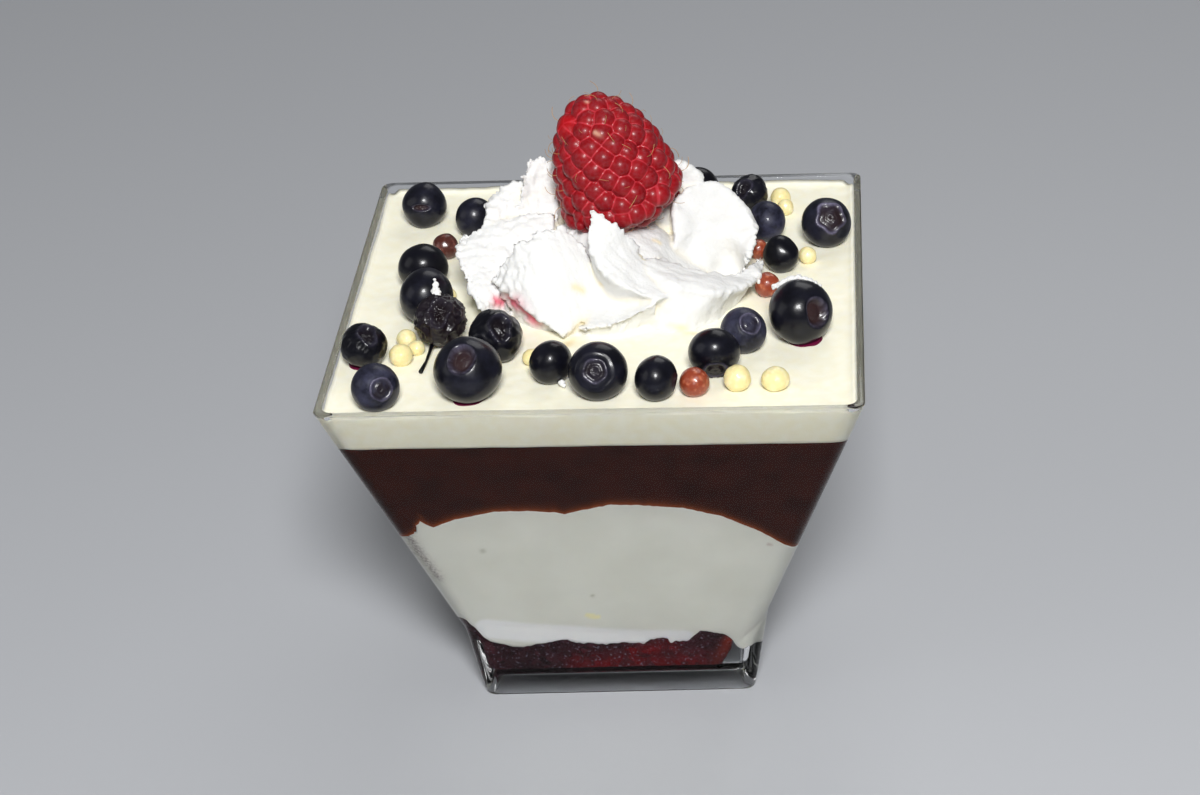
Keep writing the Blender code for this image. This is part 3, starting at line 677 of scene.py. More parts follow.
rust = add_node(tree, "ShaderNodeAttribute", attribute_name="rust")
rusty = add_node(tree, "ShaderNodeMix", {
    0: rust.outputs["Fac"], MIX_A: red.outputs[MIX_OUT], MIX_B: linear("8a2c1c")}, data_type="RGBA")
flecks = add_node(tree, "ShaderNodeTexNoise", {
    "Vector": coords.outputs["Object"], "Scale": 1 / (FLECK_SIZE * MM), "Detail": 2.0})
fleck_share = add_node(tree, "ShaderNodeMapRange", {0: flecks.outputs[0], 1: 0.60, 2: 0.72, 3: 0.0, 4: 0.5})
flecked = add_node(tree, "ShaderNodeMix", {
    0: fleck_share.outputs[0], MIX_A: rusty.outputs[MIX_OUT], MIX_B: linear("968ca0")}, data_type="RGBA")
relief = add_node(tree, "ShaderNodeBump", {
    "Height": crumbs.outputs[0], "Strength": 0.8, "Distance": 0.4 * MM})
tree.links.new(flecked.outputs[MIX_OUT], shader.inputs["Base Color"])
tree.links.new(relief.outputs[0], shader.inputs["Normal"])
print(soaked_crumb.name, "has", len(tree.nodes), "nodes")

# %% Make the crumb layer
FRUIT_END = 16.0
FRUIT_END_SLOPE = 0.55
END_SOFTNESS = 2.0
END_SWAY, END_SWAY_RATE = 0.7, 0.55


def fruit_mesh():
    """The crumb layer, pushed back on its right so that it ends in a crumbly slope short of the wall."""
    mesh = layer_mesh("fruit_layer", floor_level, fruit_top, 6, 40)
    for vert in mesh.vertices:
        x, y, z = vert.co / MM
        end = FRUIT_END + END_SWAY * math.sin(y * END_SWAY_RATE) + (z - FLOOR_TOP) * FRUIT_END_SLOPE
        start = end - END_SOFTNESS
        if x > start:
            pushed = start + END_SOFTNESS * math.tanh((x - start) / END_SOFTNESS)
            lumps = 0.5 * grain(x, y, z, 1.3) + 0.3 * grain(x, y, z, 0.6)
            vert.co.x = (pushed + min(1.0, (x - start) / END_SOFTNESS) * lumps) * MM
    return mesh


fruit = fruit_mesh()
mark(fruit, "red", [([(-5, -21.5, 5), (13, -21.5, 5)], 2.6), ([(3, -21.5, 8), (9, -21.5, 9)], 1.6),
                    ([(-2, 21.5, 6), (12, 21.5, 7)], 2.6), ([(21, -4, 6), (21, 9, 6)], 2.4),
                    ([(-21, -8, 6), (-21, 3, 7)], 2.4)])
mark(fruit, "rust", [([(15.8, -21.5, 5), (18.3, -21.5, 10)], 1.0), ([(15.5, 15, 5), (18.5, 15, 11)], 1.6)])
finish_piece("fruit_layer", fruit, soaked_crumb, ["fruit_base"])

# %% Make the white layer
white = layer_mesh("white", fruit_top, dome_top, 20, 20)
mark(white, "smear", [([(-19.5, -22.8, 13.6), (-14, -22.6, 12.6), (-8, -22.4, 12.0), (-1.8, -22.2, 11.2),
                        (4.4, -22.1, 10.6), (11, -22.0, 10.4)], 2.0)], crisp=True)
mark(white, "speck", [([(-18.3, -28.5, 31.7)], 0.45), ([(-2.4, -25.0, 21.0)], 0.35)])
mark(white, "dimple", [([(-3.5, -23.5, 16.2), (-2.1, -23.3, 15.9)], 0.55)], crisp=True)
mark(white, "rust", [([(-26.6, -26.9, 26.0), (-26.2, -26.6, 25.0)], 0.5), ([(25.3, -28.8, 32.4)], 0.3)])
mark(white, "air", [([(-29.4, -29.3, 34.6), (-28.3, -28.0, 31.0), (-27.0, -27.2, 27.5),
                      (-26.3, -26.5, 25.5)], 1.1)])
finish_piece("white_layer", white, white_foam, ["white_mousse"])

# %% Make the chocolate layer
THIN_REACH = 0.5
chocolate = layer_mesh("chocolate", dome_top, chocolate_top, 20, 4)
store_values(chocolate, "thin", [math.exp(-abs(v.co.z / MM - dome_top(v.co.x / MM, v.co.y / MM)) / THIN_REACH)
                                 for v in chocolate.vertices])
finish_piece("chocolate_layer", chocolate, chocolate_foam, ["chocolate_mousse"])

# %% Make the cream layer
# Paths in creases of the rosette and at its foot, and their reach in mm, where a warm yellow glow is painted
# for light that shines through the cream
CREVICES = [
    ([(-4.6, -16.8, 60.2), (-3.6, -14.6, 61.0), (-2.3, -13.6, 62.4)], 0.8),
    ([(-3.5, -10.6, 66.8), (-2.3, -10.2, 66.0)], 0.6), ([(10.8, -12.7, 61.1), (15.5, -14.2, 60.4)], 0.6),
    ([(0.2, -9.0, 66.6), (0.9, -9.3, 66.4)], 0.35), ([(8.0, 0.2, 69.0), (8.9, 0.2, 68.6)], 0.4),
    ([(6.2, -5.5, 69.4), (6.8, -6.0, 69.0)], 0.35)
]
cream = layer_mesh("cream", chocolate_top, cream_top, 4, 70)
mark(cream, "crevice_glow", CREVICES)
finish_piece("cream_layer", cream, cream_foam, ["cream_topping"])

# %% [markdown]
# The piped rosette
#
# Stiff cream was pressed through a star nozzle while the bag turned. Each tooth of the nozzle drew a ridge
# that leans over its neighbour, and where the cream tore, the edge stayed ragged. Each lobe is a loft from
# its own ridge: a steep side before the ridge and a broad side after it. A voxel remesh melts the lobes
# into one skin, and noise then roughens it, most of all along the ridges.

# %% The lobes of the rosette
# Each lobe: three points of its ridge as radius, azimuth and height, the width in degrees before and after
# the ridge, and the height at the end of its broad side near the middle and at the outside
ROSETTE_X, ROSETTE_Y = 0.3, 3.0
ROSETTE_FOOT = CREAM_LEVEL + 0.3
CORE_RADIUS = 17.0
CORE_HEIGHT = 12.0
CORE_POWER = 1.7
CORE_STEPS = 16
CORE_SEGMENTS = 64
LOBES = [
    ((7, 122, 12.5), (11, 134, 17.0), (13.9, 147, 18.4), -4, 30, 8.0, 8.0),
    ((8, 140, 12.5), (15, 151, 14.8), (19.0, 164, 12.4), -4, 34, 8.0, 6.0),
    ((8, 165, 11.5), (16, 176, 10.8), (23.2, 184, 9.0), -4, 34, 7.0, 3.0),
    ((9, 232, 13.8), (15, 221, 12.6), (19.8, 212, 6.4), -5, 42, 4.5, 0.6),
    ((10, 256, 6.0), (14, 260, 3.0), (18.8, 260, 1.4), -7, 38, 6.0, 4.8),
    ((9.3, 262, 17.4), (12.4, 266, 10.6), (18.4, 299, 5.2), -6, 45, 11.0, 2.0),
    ((11, 302, 8.0), (20.8, 317, 5.2), (24.2, 346, 3.2), 17, 26, 7.0, 2.0),
    ((11, 12, 13.2), (18.5, 19, 13.6), (23.6, 3, 8.0), 32, 14, 9.0, 5.0),
    ((8, 36, 14.5), (12, 27, 17.6), (16.4, 21, 15.5), 22, 26, 11.0, 8.0),
    ((8, 58, 13.0), (14, 66, 15.0), (20.5, 76, 9.0), -4, 34, 8.0, 4.0),
    ((8, 92, 13.0), (14, 100, 14.5), (20.5, 112, 8.0), -4, 34, 8.0, 4.0),
]
LOBE_STATIONS = 16
LOBE_STEPS = 10
LOBE_UNDERCUT = 0.12
LOBE_NARROWING = 0.6
LOBE_CURVE = 1.5
LOBE_FOOT = -1.0
print("lobes:", len(LOBES))


# %% Loft a lobe from its ridge
def ridge_point(ridge, share):
    """A point of a lobe's ridge: the curve through its three points, as radius, azimuth and height."""
    weights = ((1 - share) * (1 - 2 * share), 4 * share * (1 - share), share * (2 * share - 1))
    return [sum(w * point[axis] for w, point in zip(weights, ridge)) for axis in range(3)]


def unwrapped(ridge):
    """The ridge with each azimuth within half a turn of the one before it."""
    points = [list(point) for point in ridge]
    for one, other in zip(points, points[1:]):
        other[1] += 360 * round((one[1] - other[1]) / 360)
    return points


def polar(radius, azimuth, height):
    """A place in metres given round the rosette's middle."""
    angle = math.radians(azimuth)
    return Vector((ROSETTE_X + radius * math.cos(angle), ROSETTE_Y + radius * math.sin(angle),
                   ROSETTE_FOOT + height)) * MM


def lobe_ring(ridge, before, after, end_height, share):
    """A section across a lobe: its foot, its steep side, the ridge, and a broad side that falls away."""
    radius, azimuth, height = ridge_point(ridge, share)
    foot = radius * (1 - LOBE_UNDERCUT * share)
    if before > 0:
        before *= 1 - LOBE_NARROWING * share
    ring = [polar(foot, azimuth - before, LOBE_FOOT)]
    ring.append(polar((foot + radius) / 2, azimuth - 0.55 * before, 0.6 * height))
    for k in range(LOBE_STEPS + 1):
        part = k / LOBE_STEPS
        fall = height + (end_height - height) * part ** LOBE_CURVE
        ring.append(polar(radius, azimuth + after * part, fall))
    ring.append(polar(foot, azimuth + after, LOBE_FOOT))
    ring.append(polar(foot, azimuth + 0.5 * (after - before), LOBE_FOOT))
    return ring


def lobe_mesh(ridge, before, after, inner_end, outer_end):
    """A lobe, as sections along its ridge."""
    rings = []
    for k in range(LOBE_STATIONS):
        share = k / (LOBE_STATIONS - 1)
        end_height = inner_end + (outer_end - inner_end) * share
        rings.append(lobe_ring(unwrapped(ridge), before, after, end_height, share))
    ends = [sum(ring, Vector()) / len(ring) for ring in (rings[0], rings[-1])]
    return mesh_from_rings("lobe", rings, *ends)


def turned_mesh(name, profile, segments, place=Matrix.Identity(4)):
    """A turned form from (radius, height) points in mm whose first and last lie on the axis."""
    rings = []
    for radius, height in profile[1:-1]:
        ring = [Vector((radius * math.cos(t), radius * math.sin(t), height)) * MM
                for t in np.linspace(0, 2 * math.pi, segments, endpoint=False)]
        rings.append([place @ p for p in ring])
    ends = [place @ Vector((0, 0, height * MM)) for _, height in (profile[0], profile[-1])]
    return mesh_from_rings(name, rings, *ends)


def core_mesh():
    """The mound of cream that the lobes lean on."""
    shares = [k / CORE_STEPS for k in range(1, CORE_STEPS + 1)]
    profile = [(0, CORE_HEIGHT)] + [(CORE_RADIUS * s, CORE_HEIGHT * (1 - s ** CORE_POWER)) for s in shares]
    profile += [(CORE_RADIUS, LOBE_FOOT), (0, LOBE_FOOT)]
    place = Matrix.Translation(Vector((ROSETTE_X, ROSETTE_Y, ROSETTE_FOOT)) * MM)
    return turned_mesh("core", profile, CORE_SEGMENTS, place)


# %% Functions that melt meshes and measure how a skin bends
ROSETTE_VOXEL = 0.33


def melted(meshes, voxel_mm):
    """Several closed meshes as one skin, by a voxel remesh."""
    bm = bmesh.new()
    for mesh in meshes:
        bm.from_mesh(mesh)
    joined = bpy.data.meshes.new("joined")
    bm.to_mesh(joined)
    bm.free()
    temporary = bpy.data.objects.new("melting", joined)
    bpy.context.scene.collection.objects.link(temporary)
    step = temporary.modifiers.new("remesh", "REMESH")
    step.mode = "VOXEL"
    step.voxel_size = voxel_mm * MM
    graph = bpy.context.evaluated_depsgraph_get()
    result = bpy.data.meshes.new_from_object(temporary.evaluated_get(graph))
    bpy.data.objects.remove(temporary)
    return result


def point_arrays(mesh):
    """The points, their normals and the pairs of points that edges join, as arrays."""
    points = np.empty(len(mesh.vertices) * 3)
    mesh.vertices.foreach_get("co", points)
    normals = np.empty(len(mesh.vertices) * 3)
    mesh.vertices.foreach_get("normal", normals)
    pairs = np.empty(len(mesh.edges) * 2, dtype=int)
    mesh.edges.foreach_get("vertices", pairs)
    return points.reshape(-1, 3), normals.reshape(-1, 3), pairs.reshape(-1, 2)


def neighbour_mean(values, pairs):
    """For each point, the mean of its neighbours' values."""
    total = np.zeros_like(values)
    count = np.zeros(len(values))
    for one, other in ((0, 1), (1, 0)):
        np.add.at(total, pairs[:, one], values[pairs[:, other]])
        np.add.at(count, pairs[:, one], 1)
    return total / (count[:, None] if values.ndim == 2 else count)


def sharpness(points, normals, pairs, rounds):
    """How strongly the skin bends at each point: above 0 on ridges and below 0 in creases."""
    away = points - neighbour_mean(points, pairs)
    bend = (away * normals).sum(1) / (ROSETTE_VOXEL * MM)
    for _ in range(rounds):
        bend = 0.5 * bend + 0.5 * neighbour_mean(bend, pairs)
    return bend


# %% Melt the lobes together and roughen them
# The cream is torn between these azimuths; sizes in mm are given for its torn and its smoother part
TORN_FROM, TORN_TO = 105, 232
TORN_KNOBS, SMOOTH_KNOBS = 0.32, 0.05
TORN_FRILL, SMOOTH_FRILL = 0.7, 0.5
TORN_RIBS, SMOOTH_RIBS = 0.2, 0.14
SOFT_FOLDS, RIGHT_FOLDS = 0.24, 0.3
BEND_ROUNDS = 6
RIDGE_GAIN, CREASE_GAIN = 9, 7


def rosette_mesh():
    """The lobes and the core as one skin, knobbly on its left, with fine ribs and torn ridges all round."""
    mesh = melted([lobe_mesh(entry[:3], *entry[3:]) for entry in LOBES] + [core_mesh()], ROSETTE_VOXEL)
    points, normals, pairs = point_arrays(mesh)
    bend = sharpness(points, normals, pairs, BEND_ROUNDS)
    ridge = np.clip(bend * RIDGE_GAIN, 0, 1)
    crease = np.clip(-bend * CREASE_GAIN, 0, 1)
    for index, vert in enumerate(mesh.vertices):
        x, y, z = points[index] / MM
        around = math.atan2(y - ROSETTE_Y, x - ROSETTE_X)
        radius = math.hypot(x - ROSETTE_X, y - ROSETTE_Y)
        torn = TORN_FROM < math.degrees(around) % 360 < TORN_TO
        knobs = grain(x, y, z, 1.0) + 0.5 * grain(x, y, z + 40, 0.55)
        ribs = grain(radius / 4, around * radius / 0.8, z / 3, 1.0)
        soft = grain(x, y, z + 20, 3.0) + 1.6 * grain(x + 9, y, z, 6.0)
        folds = SOFT_FOLDS + RIGHT_FOLDS * max(0.0, min(1.0, (x - 5) / 6))
        rough = TORN_KNOBS if torn else SMOOTH_KNOBS
        frill = (TORN_FRILL if torn else SMOOTH_FRILL) * ridge[index]
        move = folds * soft + (TORN_RIBS if torn else SMOOTH_RIBS) * ribs + (rough + frill) * knobs
        vert.co += Vector(normals[index]) * move * MM
    # How deep each point lies in a crease, for a painted glow of light through the cream there
    store_values(mesh, "crease", crease)
    # Painted glow: the crevices are marked for a yellow tint, for light that shines through the cream
    mark(mesh, "crevice_glow", CREVICES)
    mark(mesh, "juice", [([(-16.1, -8.5, 63.6), (-15.1, -7.4, 62.8)], 0.8),
                         ([(-13.4, -9.6, 63.9), (-12.0, -11.4, 64.4), (-10.9, -11.9, 63.6),
                           (-9.9, -11.9, 62.2)], 1.3)])
    return mesh


# %% Whipped cream
# Beaten cream is matt and very white; light goes a millimetre into it, and the warm yellow glow that this
# gives its creases is painted into their colour
whipped_cream, tree, shader = new_finish(
    "whipped cream", Roughness=0.6, Subsurface_Weight=0.15, Subsurface_Scale=0.8 * MM,
    Subsurface_Radius=(1.0, 0.9, 0.7), IOR=1.4, Specular_IOR_Level=0.2)
# Painted glow: creases are mixed to a yellower white, for light that shines through the cream there
crease = add_node(tree, "ShaderNodeAttribute", attribute_name="crease")
base = add_node(tree, "ShaderNodeMix", {
    0: crease.outputs["Fac"], MIX_A: linear("e2e2e0"), MIX_B: linear("e4dcc4")}, data_type="RGBA")
# Painted glow: crevices and the rosette's foot tinted yellow, for light that shines through the cream
base = tinted(tree, shader, base, "crevice_glow", "e8d294", 0.6)
tinted(tree, shader, base, "juice", "e8607c", 0.9)
coords = add_node(tree, "ShaderNodeTexCoord")
grains = add_node(tree, "ShaderNodeTexNoise", {
    "Vector": coords.outputs["Object"], "Scale": 1 / (0.5 * MM), "Detail": 5.0})
relief = add_node(tree, "ShaderNodeBump", {
    "Height": grains.outputs[0], "Strength": 0.5, "Distance": 0.2 * MM})
tree.links.new(relief.outputs[0], shader.inputs["Normal"])
finish_piece("cream_rosette", rosette_mesh(), whipped_cream, ["whipped_cream"])

# %% [markdown]
# The raspberry
#
# A raspberry is a hollow cone of small juicy drupelets, each with a thin skin that looks paler where it
# meets its neighbours, partly from fine hairs and partly from light that shines through it. Geometry Nodes
# place one ball on every point of a golden spiral, and a voxel remesh melts the balls into one skin, as they
# touch on the real fruit. How near each point is to the line between two drupelets is then stored, so that
# the material can draw the pale lines and paint the red glow of light shining through beside them.

# %% Sizes of the raspberry
RASPBERRY_AT = Vector((1.4, 5.2, 80.3)) * MM
RASPBERRY_HALF = 11.2
RASPBERRY_RADIUS = 10.0
RASPBERRY_LEAN = math.radians(-18)
RASPBERRY_PLACE = Matrix.Translation(RASPBERRY_AT) @ Matrix.Rotation(RASPBERRY_LEAN, 4, "Y")
DRUPELET_COUNT = 152
DRUPELET_RADIUS = 1.82
GOLDEN_ANGLE = math.pi * (3 - math.sqrt(5))
OUTLINE_PARTS = 200
RASPBERRY_VOXEL = 0.17
EDGE_WIDTH = 0.45
SPIRAL_SCATTER = 2.0
SPIN_SCATTER = 0.07
DEEPEST, HIGHEST = 0.90, 1.08
UNEVENNESS = 0.06
# Where the skin is smooth and bare on the left of the tip, in the berry's own frame
BARE_AT, BARE_REACH = Vector((-3.6, -1.6, 8.6)), 2.1
print("raspberry:", 2 * RASPBERRY_HALF, "mm long and", 2 * RASPBERRY_RADIUS, "mm wide")


# %% Where the drupelets are
def raspberry_radius(share):
    """The berry's radius at a share of its length, from 0 at the open end to 1 at the tip."""
    body = (1 - share ** 2.6) ** 0.5
    return RASPBERRY_RADIUS * body * min(1.0, (share / 0.22 + 0.05) ** 0.45)


def outline_point(share):
    """A point of the berry's outline, in its own frame."""
    return Vector((raspberry_radius(share), 0, (2 * share - 1) * RASPBERRY_HALF))


def drupelet_points():
    """Centres and directions of the drupelets: a golden spiral that gives each the same share of the skin."""
    outline = [outline_point(k / OUTLINE_PARTS) for k in range(OUTLINE_PARTS + 1)]
    areas = [0.0]
    for a, b in zip(outline, outline[1:]):
        areas.append(areas[-1] + (a.x + b.x) / 2 * (b - a).length)
    draw = random.Random(5)
    centres, aims = [], []
    for k in range(DRUPELET_COUNT):
        wanted = (k + 0.5 + draw.uniform(-0.5, 0.5) * SPIRAL_SCATTER) / DRUPELET_COUNT * areas[-1]
        part = int(np.searchsorted(areas, wanted)) - 1
        inner = (wanted - areas[part]) / (areas[part + 1] - areas[part])
        a, b = outline[part], outline[part + 1]
        point, along = a + (b - a) * inner, (b - a).normalized()
        spin = Matrix.Rotation(k * GOLDEN_ANGLE + draw.uniform(-SPIN_SCATTER, SPIN_SCATTER), 3, "Z")
        aim = spin @ Vector((along.z, 0, -along.x))
        centre = spin @ point - aim * DRUPELET_RADIUS * draw.uniform(DEEPEST, HIGHEST)
        if (centre - BARE_AT).length > BARE_REACH:
            centres.append(centre)
            aims.append(aim)
    return centres, aims


def mark_edges(mesh, centres):
    """Stores how near each point is to a line where two drupelets meet: 1 on the line, 0 well inside one."""
    points, _, _ = point_arrays(mesh)
    away = np.linalg.norm(points[:, None] / MM - np.array([list(c) for c in centres])[None], axis=2)
    nearest = np.partition(away, 1, axis=1)
    store_values(mesh, "edge", np.clip(1 - (nearest[:, 1] - nearest[:, 0]) / EDGE_WIDTH / 2, 0, 1))


def points_mesh(name, places, aims):
    """A mesh of loose points that each carry a direction."""
    mesh = bpy.data.meshes.new(name)
    mesh.from_pydata([tuple(p) for p in places], [], [])
    layer = mesh.attributes.new("aim", "FLOAT_VECTOR", "POINT")
    layer.data.foreach_set("vector", [c for aim in aims for c in aim])
    return mesh


# %% Functions that make and run a Geometry Nodes tree
def form_tree(name):
    """A new Geometry Nodes tree with a geometry input and output."""
    tree = bpy.data.node_groups.new(name, "GeometryNodeTree")
    tree.interface.new_socket("Geometry", in_out="INPUT", socket_type="NodeSocketGeometry")
    tree.interface.new_socket("Geometry", in_out="OUTPUT", socket_type="NodeSocketGeometry")
    return tree


def number_input(tree, name, value):
    """A named size that the tree takes; gives the identifier that a modifier knows it by."""
    socket = tree.interface.new_socket(name, in_out="INPUT", socket_type="NodeSocketFloat")
    socket.default_value = value
    return socket.identifier


def set_on_points(tree, start, form, finish, scale=None, spin=None):
    """Ends a tree: the form on every point, turned to the point's direction, as real mesh in its finish."""
    aim = add_node(tree, "GeometryNodeInputNamedAttribute", {"Name": "aim"}, data_type="FLOAT_VECTOR")
    turn = add_node(tree, "FunctionNodeAlignRotationToVector", {"Vector": aim.outputs[0]}, axis="Z")
    if spin:
        turn = add_node(tree, "FunctionNodeRotateRotation", {
            0: turn.outputs[0], 1: spin}, rotation_space="LOCAL")
    inputs = {"Points": start.outputs["Geometry"], "Instance": form, "Rotation": turn.outputs[0]}
    if scale:
        inputs["Scale"] = scale
    copies = add_node(tree, "GeometryNodeInstanceOnPoints", inputs)
    real = add_node(tree, "GeometryNodeRealizeInstances", {0: copies.outputs[0]})
    dressed = add_node(tree, "GeometryNodeSetMaterial", {"Geometry": real.outputs[0], "Material": finish})
    add_node(tree, "NodeGroupOutput", {0: dressed.outputs[0]})


def grown(mesh, tree, values):
    """Runs a tree on a mesh and returns the result as a plain mesh."""
    carrier = bpy.data.objects.new("carrier", mesh)
    bpy.context.scene.collection.objects.link(carrier)
    step = carrier.modifiers.new("grow", "NODES")
    step.node_group = tree
    for identifier, value in values:
        step[identifier] = value
    graph = bpy.context.evaluated_depsgraph_get()
    result = bpy.data.meshes.new_from_object(carrier.evaluated_get(graph))
    bpy.data.objects.remove(carrier)
    return result


# %% The drupelet tree
def drupelet_tree(finish):
    """A ball on every point, a little uneven in size."""
    tree = form_tree("drupelets")
    radius = number_input(tree, "Radius", DRUPELET_RADIUS * MM)
    spread = number_input(tree, "Unevenness", UNEVENNESS)
    start = add_node(tree, "NodeGroupInput")
    ball = add_node(tree, "GeometryNodeMeshUVSphere", {
        "Segments": 40, "Rings": 26, "Radius": start.outputs["Radius"]})
    least = add_node(tree, "ShaderNodeMath", {0: 1.0, 1: start.outputs["Unevenness"]}, operation="SUBTRACT")
    most = add_node(tree, "ShaderNodeMath", {0: 1.0, 1: start.outputs["Unevenness"]}, operation="ADD")
    size = add_node(tree, "FunctionNodeRandomValue", {
        2: least.outputs[0], 3: most.outputs[0], "Seed": 4}, data_type="FLOAT")
    set_on_points(tree, start, ball.outputs["Mesh"], finish, scale=size.outputs[1])
    return tree, {"Radius": radius, "Unevenness": spread}


# %% The hair tree
HAIR_LENGTH, HAIR_THICKNESS = 2.0, 0.07
HAIR_SIDE, HAIR_RISE = 0.75, 0.55
FULL_TURN = 6.283


def hair_tree(finish):
    """A bent hair on every point, turned by chance about the point's direction."""
    tree = form_tree("hairs")
    length = number_input(tree, "Length", HAIR_LENGTH * MM)
    thickness = number_input(tree, "Thickness", HAIR_THICKNESS * MM)
    start = add_node(tree, "NodeGroupInput")
    side = add_node(tree, "ShaderNodeMath", {0: start.outputs["Length"], 1: HAIR_SIDE}, operation="MULTIPLY")
    rise = add_node(tree, "ShaderNodeMath", {0: start.outputs["Length"], 1: HAIR_RISE}, operation="MULTIPLY")
    bend_at = add_node(tree, "ShaderNodeCombineXYZ", {2: rise.outputs[0]})
    end_at = add_node(tree, "ShaderNodeCombineXYZ", {0: side.outputs[0], 2: rise.outputs[0]})
    line = add_node(tree, "GeometryNodeCurveQuadraticBezier", {
        "Resolution": 8, "Start": (0, 0, -0.0001), "Middle": bend_at.outputs[0],
        "End": end_at.outputs[0]})
    half = add_node(tree, "ShaderNodeMath", {0: start.outputs["Thickness"], 1: 0.5}, operation="MULTIPLY")
    ring = add_node(tree, "GeometryNodeCurvePrimitiveCircle", {"Resolution": 5, "Radius": half.outputs[0]})
    tube = add_node(tree, "GeometryNodeCurveToMesh", {
        "Curve": line.outputs[0], "Profile Curve": ring.outputs[0], "Fill Caps": True})
    spin = add_node(tree, "FunctionNodeRandomValue", {
        0: (-0.4, -0.4, 0), 1: (0.4, 0.4, FULL_TURN), "Seed": 8}, data_type="FLOAT_VECTOR")
    spun = add_node(tree, "FunctionNodeEulerToRotation", {0: spin.outputs[0]})
    size = add_node(tree, "FunctionNodeRandomValue", {2: 0.6, 3: 1.3, "Seed": 3}, data_type="FLOAT")
    set_on_points(tree, start, tube.outputs[0], finish, scale=size.outputs[1], spin=spun.outputs[0])
    return tree, {"Length": length, "Thickness": thickness}


# %% Raspberry skin
# Wet red skin over juice: dull rose tops, and a painted bright red glow towards the edges, where light
# shines through; the fine pale line where neighbours meet is partly painted light and partly fine hairs
BLUSH_SIZE, DUST_SIZE = 2.5, 0.5
raspberry_skin, tree, shader = new_finish(
    "raspberry skin", Roughness=0.38, Subsurface_Weight=0.2, Subsurface_Scale=0.8 * MM,
    Subsurface_Radius=(1.0, 0.15, 0.1), IOR=1.4, Specular_IOR_Level=0.3, Coat_Weight=0.12,
    Coat_Roughness=0.15)
edge = add_node(tree, "ShaderNodeAttribute", attribute_name="edge")
# Painted light: a bright red glow towards each edge, and a pale edge line that is partly painted light and
# partly hairs
glow = add_node(tree, "ShaderNodeMapRange", {0: edge.outputs["Fac"], 1: 0.0, 2: 0.9, 3: 0.0, 4: 0.6})
line = add_node(tree, "ShaderNodeMapRange", {0: edge.outputs["Fac"], 1: 0.80, 2: 0.92, 3: 0.0, 4: 0.7})
coords = add_node(tree, "ShaderNodeTexCoord")
blush = add_node(tree, "ShaderNodeTexNoise", {
    "Vector": coords.outputs["Object"], "Scale": 1 / (BLUSH_SIZE * MM), "Detail": 4.0})
dusting = add_node(tree, "ShaderNodeTexNoise", {
    "Vector": coords.outputs["Object"], "Scale": 1 / (DUST_SIZE * MM), "Detail": 5.0})
flesh = add_node(tree, "ShaderNodeMix", {
    0: blush.outputs[0], MIX_A: linear("6a050c"), MIX_B: linear("980914")}, data_type="RGBA")
dust_share = add_node(tree, "ShaderNodeMapRange", {0: dusting.outputs[0], 1: 0.35, 2: 0.7, 3: 0.0, 4: 0.16})
dusty = add_node(tree, "ShaderNodeMix", {
    0: dust_share.outputs[0], MIX_A: flesh.outputs[MIX_OUT], MIX_B: linear("a8606c")}, data_type="RGBA")
glowing = add_node(tree, "ShaderNodeMix", {
    0: glow.outputs[0], MIX_A: dusty.outputs[MIX_OUT], MIX_B: linear("a00a12")}, data_type="RGBA")
lined = add_node(tree, "ShaderNodeMix", {
    0: line.outputs[0], MIX_A: glowing.outputs[MIX_OUT], MIX_B: linear("c03a46")}, data_type="RGBA")
base = tinted(tree, shader, lined, "bare", "c00a12", 0.9)
tinted(tree, shader, base, "torn", "d8a48c", 0.85)
relief = add_node(tree, "ShaderNodeBump", {
    "Height": dusting.outputs[0], "Strength": 0.2, "Distance": 0.08 * MM})
tree.links.new(relief.outputs[0], shader.inputs["Normal"])
print(raspberry_skin.name, "has", len(tree.nodes), "nodes")

# Dry, straw brown and dull
hair_finish, tree, shader = new_finish("dry hair", Roughness=0.5)
shader.inputs["Base Color"].default_value = linear("b08858")


# %% Functions that join meshes and make lumpy balls
def joined_mesh(name, meshes, place=Matrix.Identity(4)):
    """Several meshes as one, moved to their place."""
    bm = bmesh.new()
    for mesh in meshes:
        bm.from_mesh(mesh)
    bm.transform(place)
    made = bpy.data.meshes.new(name)
    bm.to_mesh(made)
    bm.free()
    return made


def ball_mesh(centre, radius, seed, uneven, size=1.0, subdivisions=4, stretch=(1, 1, 1)):
    """A lumpy ball in mm; the lumps are of the given size."""
    bm = bmesh.new()
    bmesh.ops.create_icosphere(bm, subdivisions=subdivisions, radius=1.0)
    for vert in bm.verts:
        lump = noise.noise(vert.co * radius / size + Vector((seed * 3.1, 0, 0)))
        move = vert.co * radius * (1 + uneven * lump)
        vert.co = (Vector(centre) + Vector([m * s for m, s in zip(move, stretch)])) * MM
    mesh = bpy.data.meshes.new("ball")
    bm.to_mesh(mesh)
    bm.free()
    return mesh


# %% Make the raspberry
FLESH_INSET = 2.2
FLESH_STEPS = 24
FLESH_SEGMENTS = 48
# Where the skin is torn or spoiled, in the berry's own frame
TORN_PLACES = [
    ([(1.0, -5.9, 7.6), (1.9, -6.8, 7.0), (2.9, -7.3, 5.9)], 0.36), ([(0.8, -1.4, 11.0)], 0.35),
    ([(0.0, -7.6, -8.8)], 0.8)
]
BARE_BALL_SHIFT, BARE_BALL_RADIUS, BARE_MARK = Vector((-0.8, -0.5, 1.8)), 2.9, 1.6
centres, aims = drupelet_points()
tree, sockets = drupelet_tree(raspberry_skin)
drupelets = grown(points_mesh("net", [c * MM for c in centres], aims), tree,
                  [(sockets["Radius"], DRUPELET_RADIUS * MM), (sockets["Unevenness"], UNEVENNESS)])
body_profile = [(0, RASPBERRY_HALF - FLESH_INSET)]
for k in range(1, FLESH_STEPS):
    share = 1 - k / FLESH_STEPS
    height = (2 * share - 1) * (RASPBERRY_HALF - FLESH_INSET)
    body_profile.append((raspberry_radius(share) - FLESH_INSET, height))
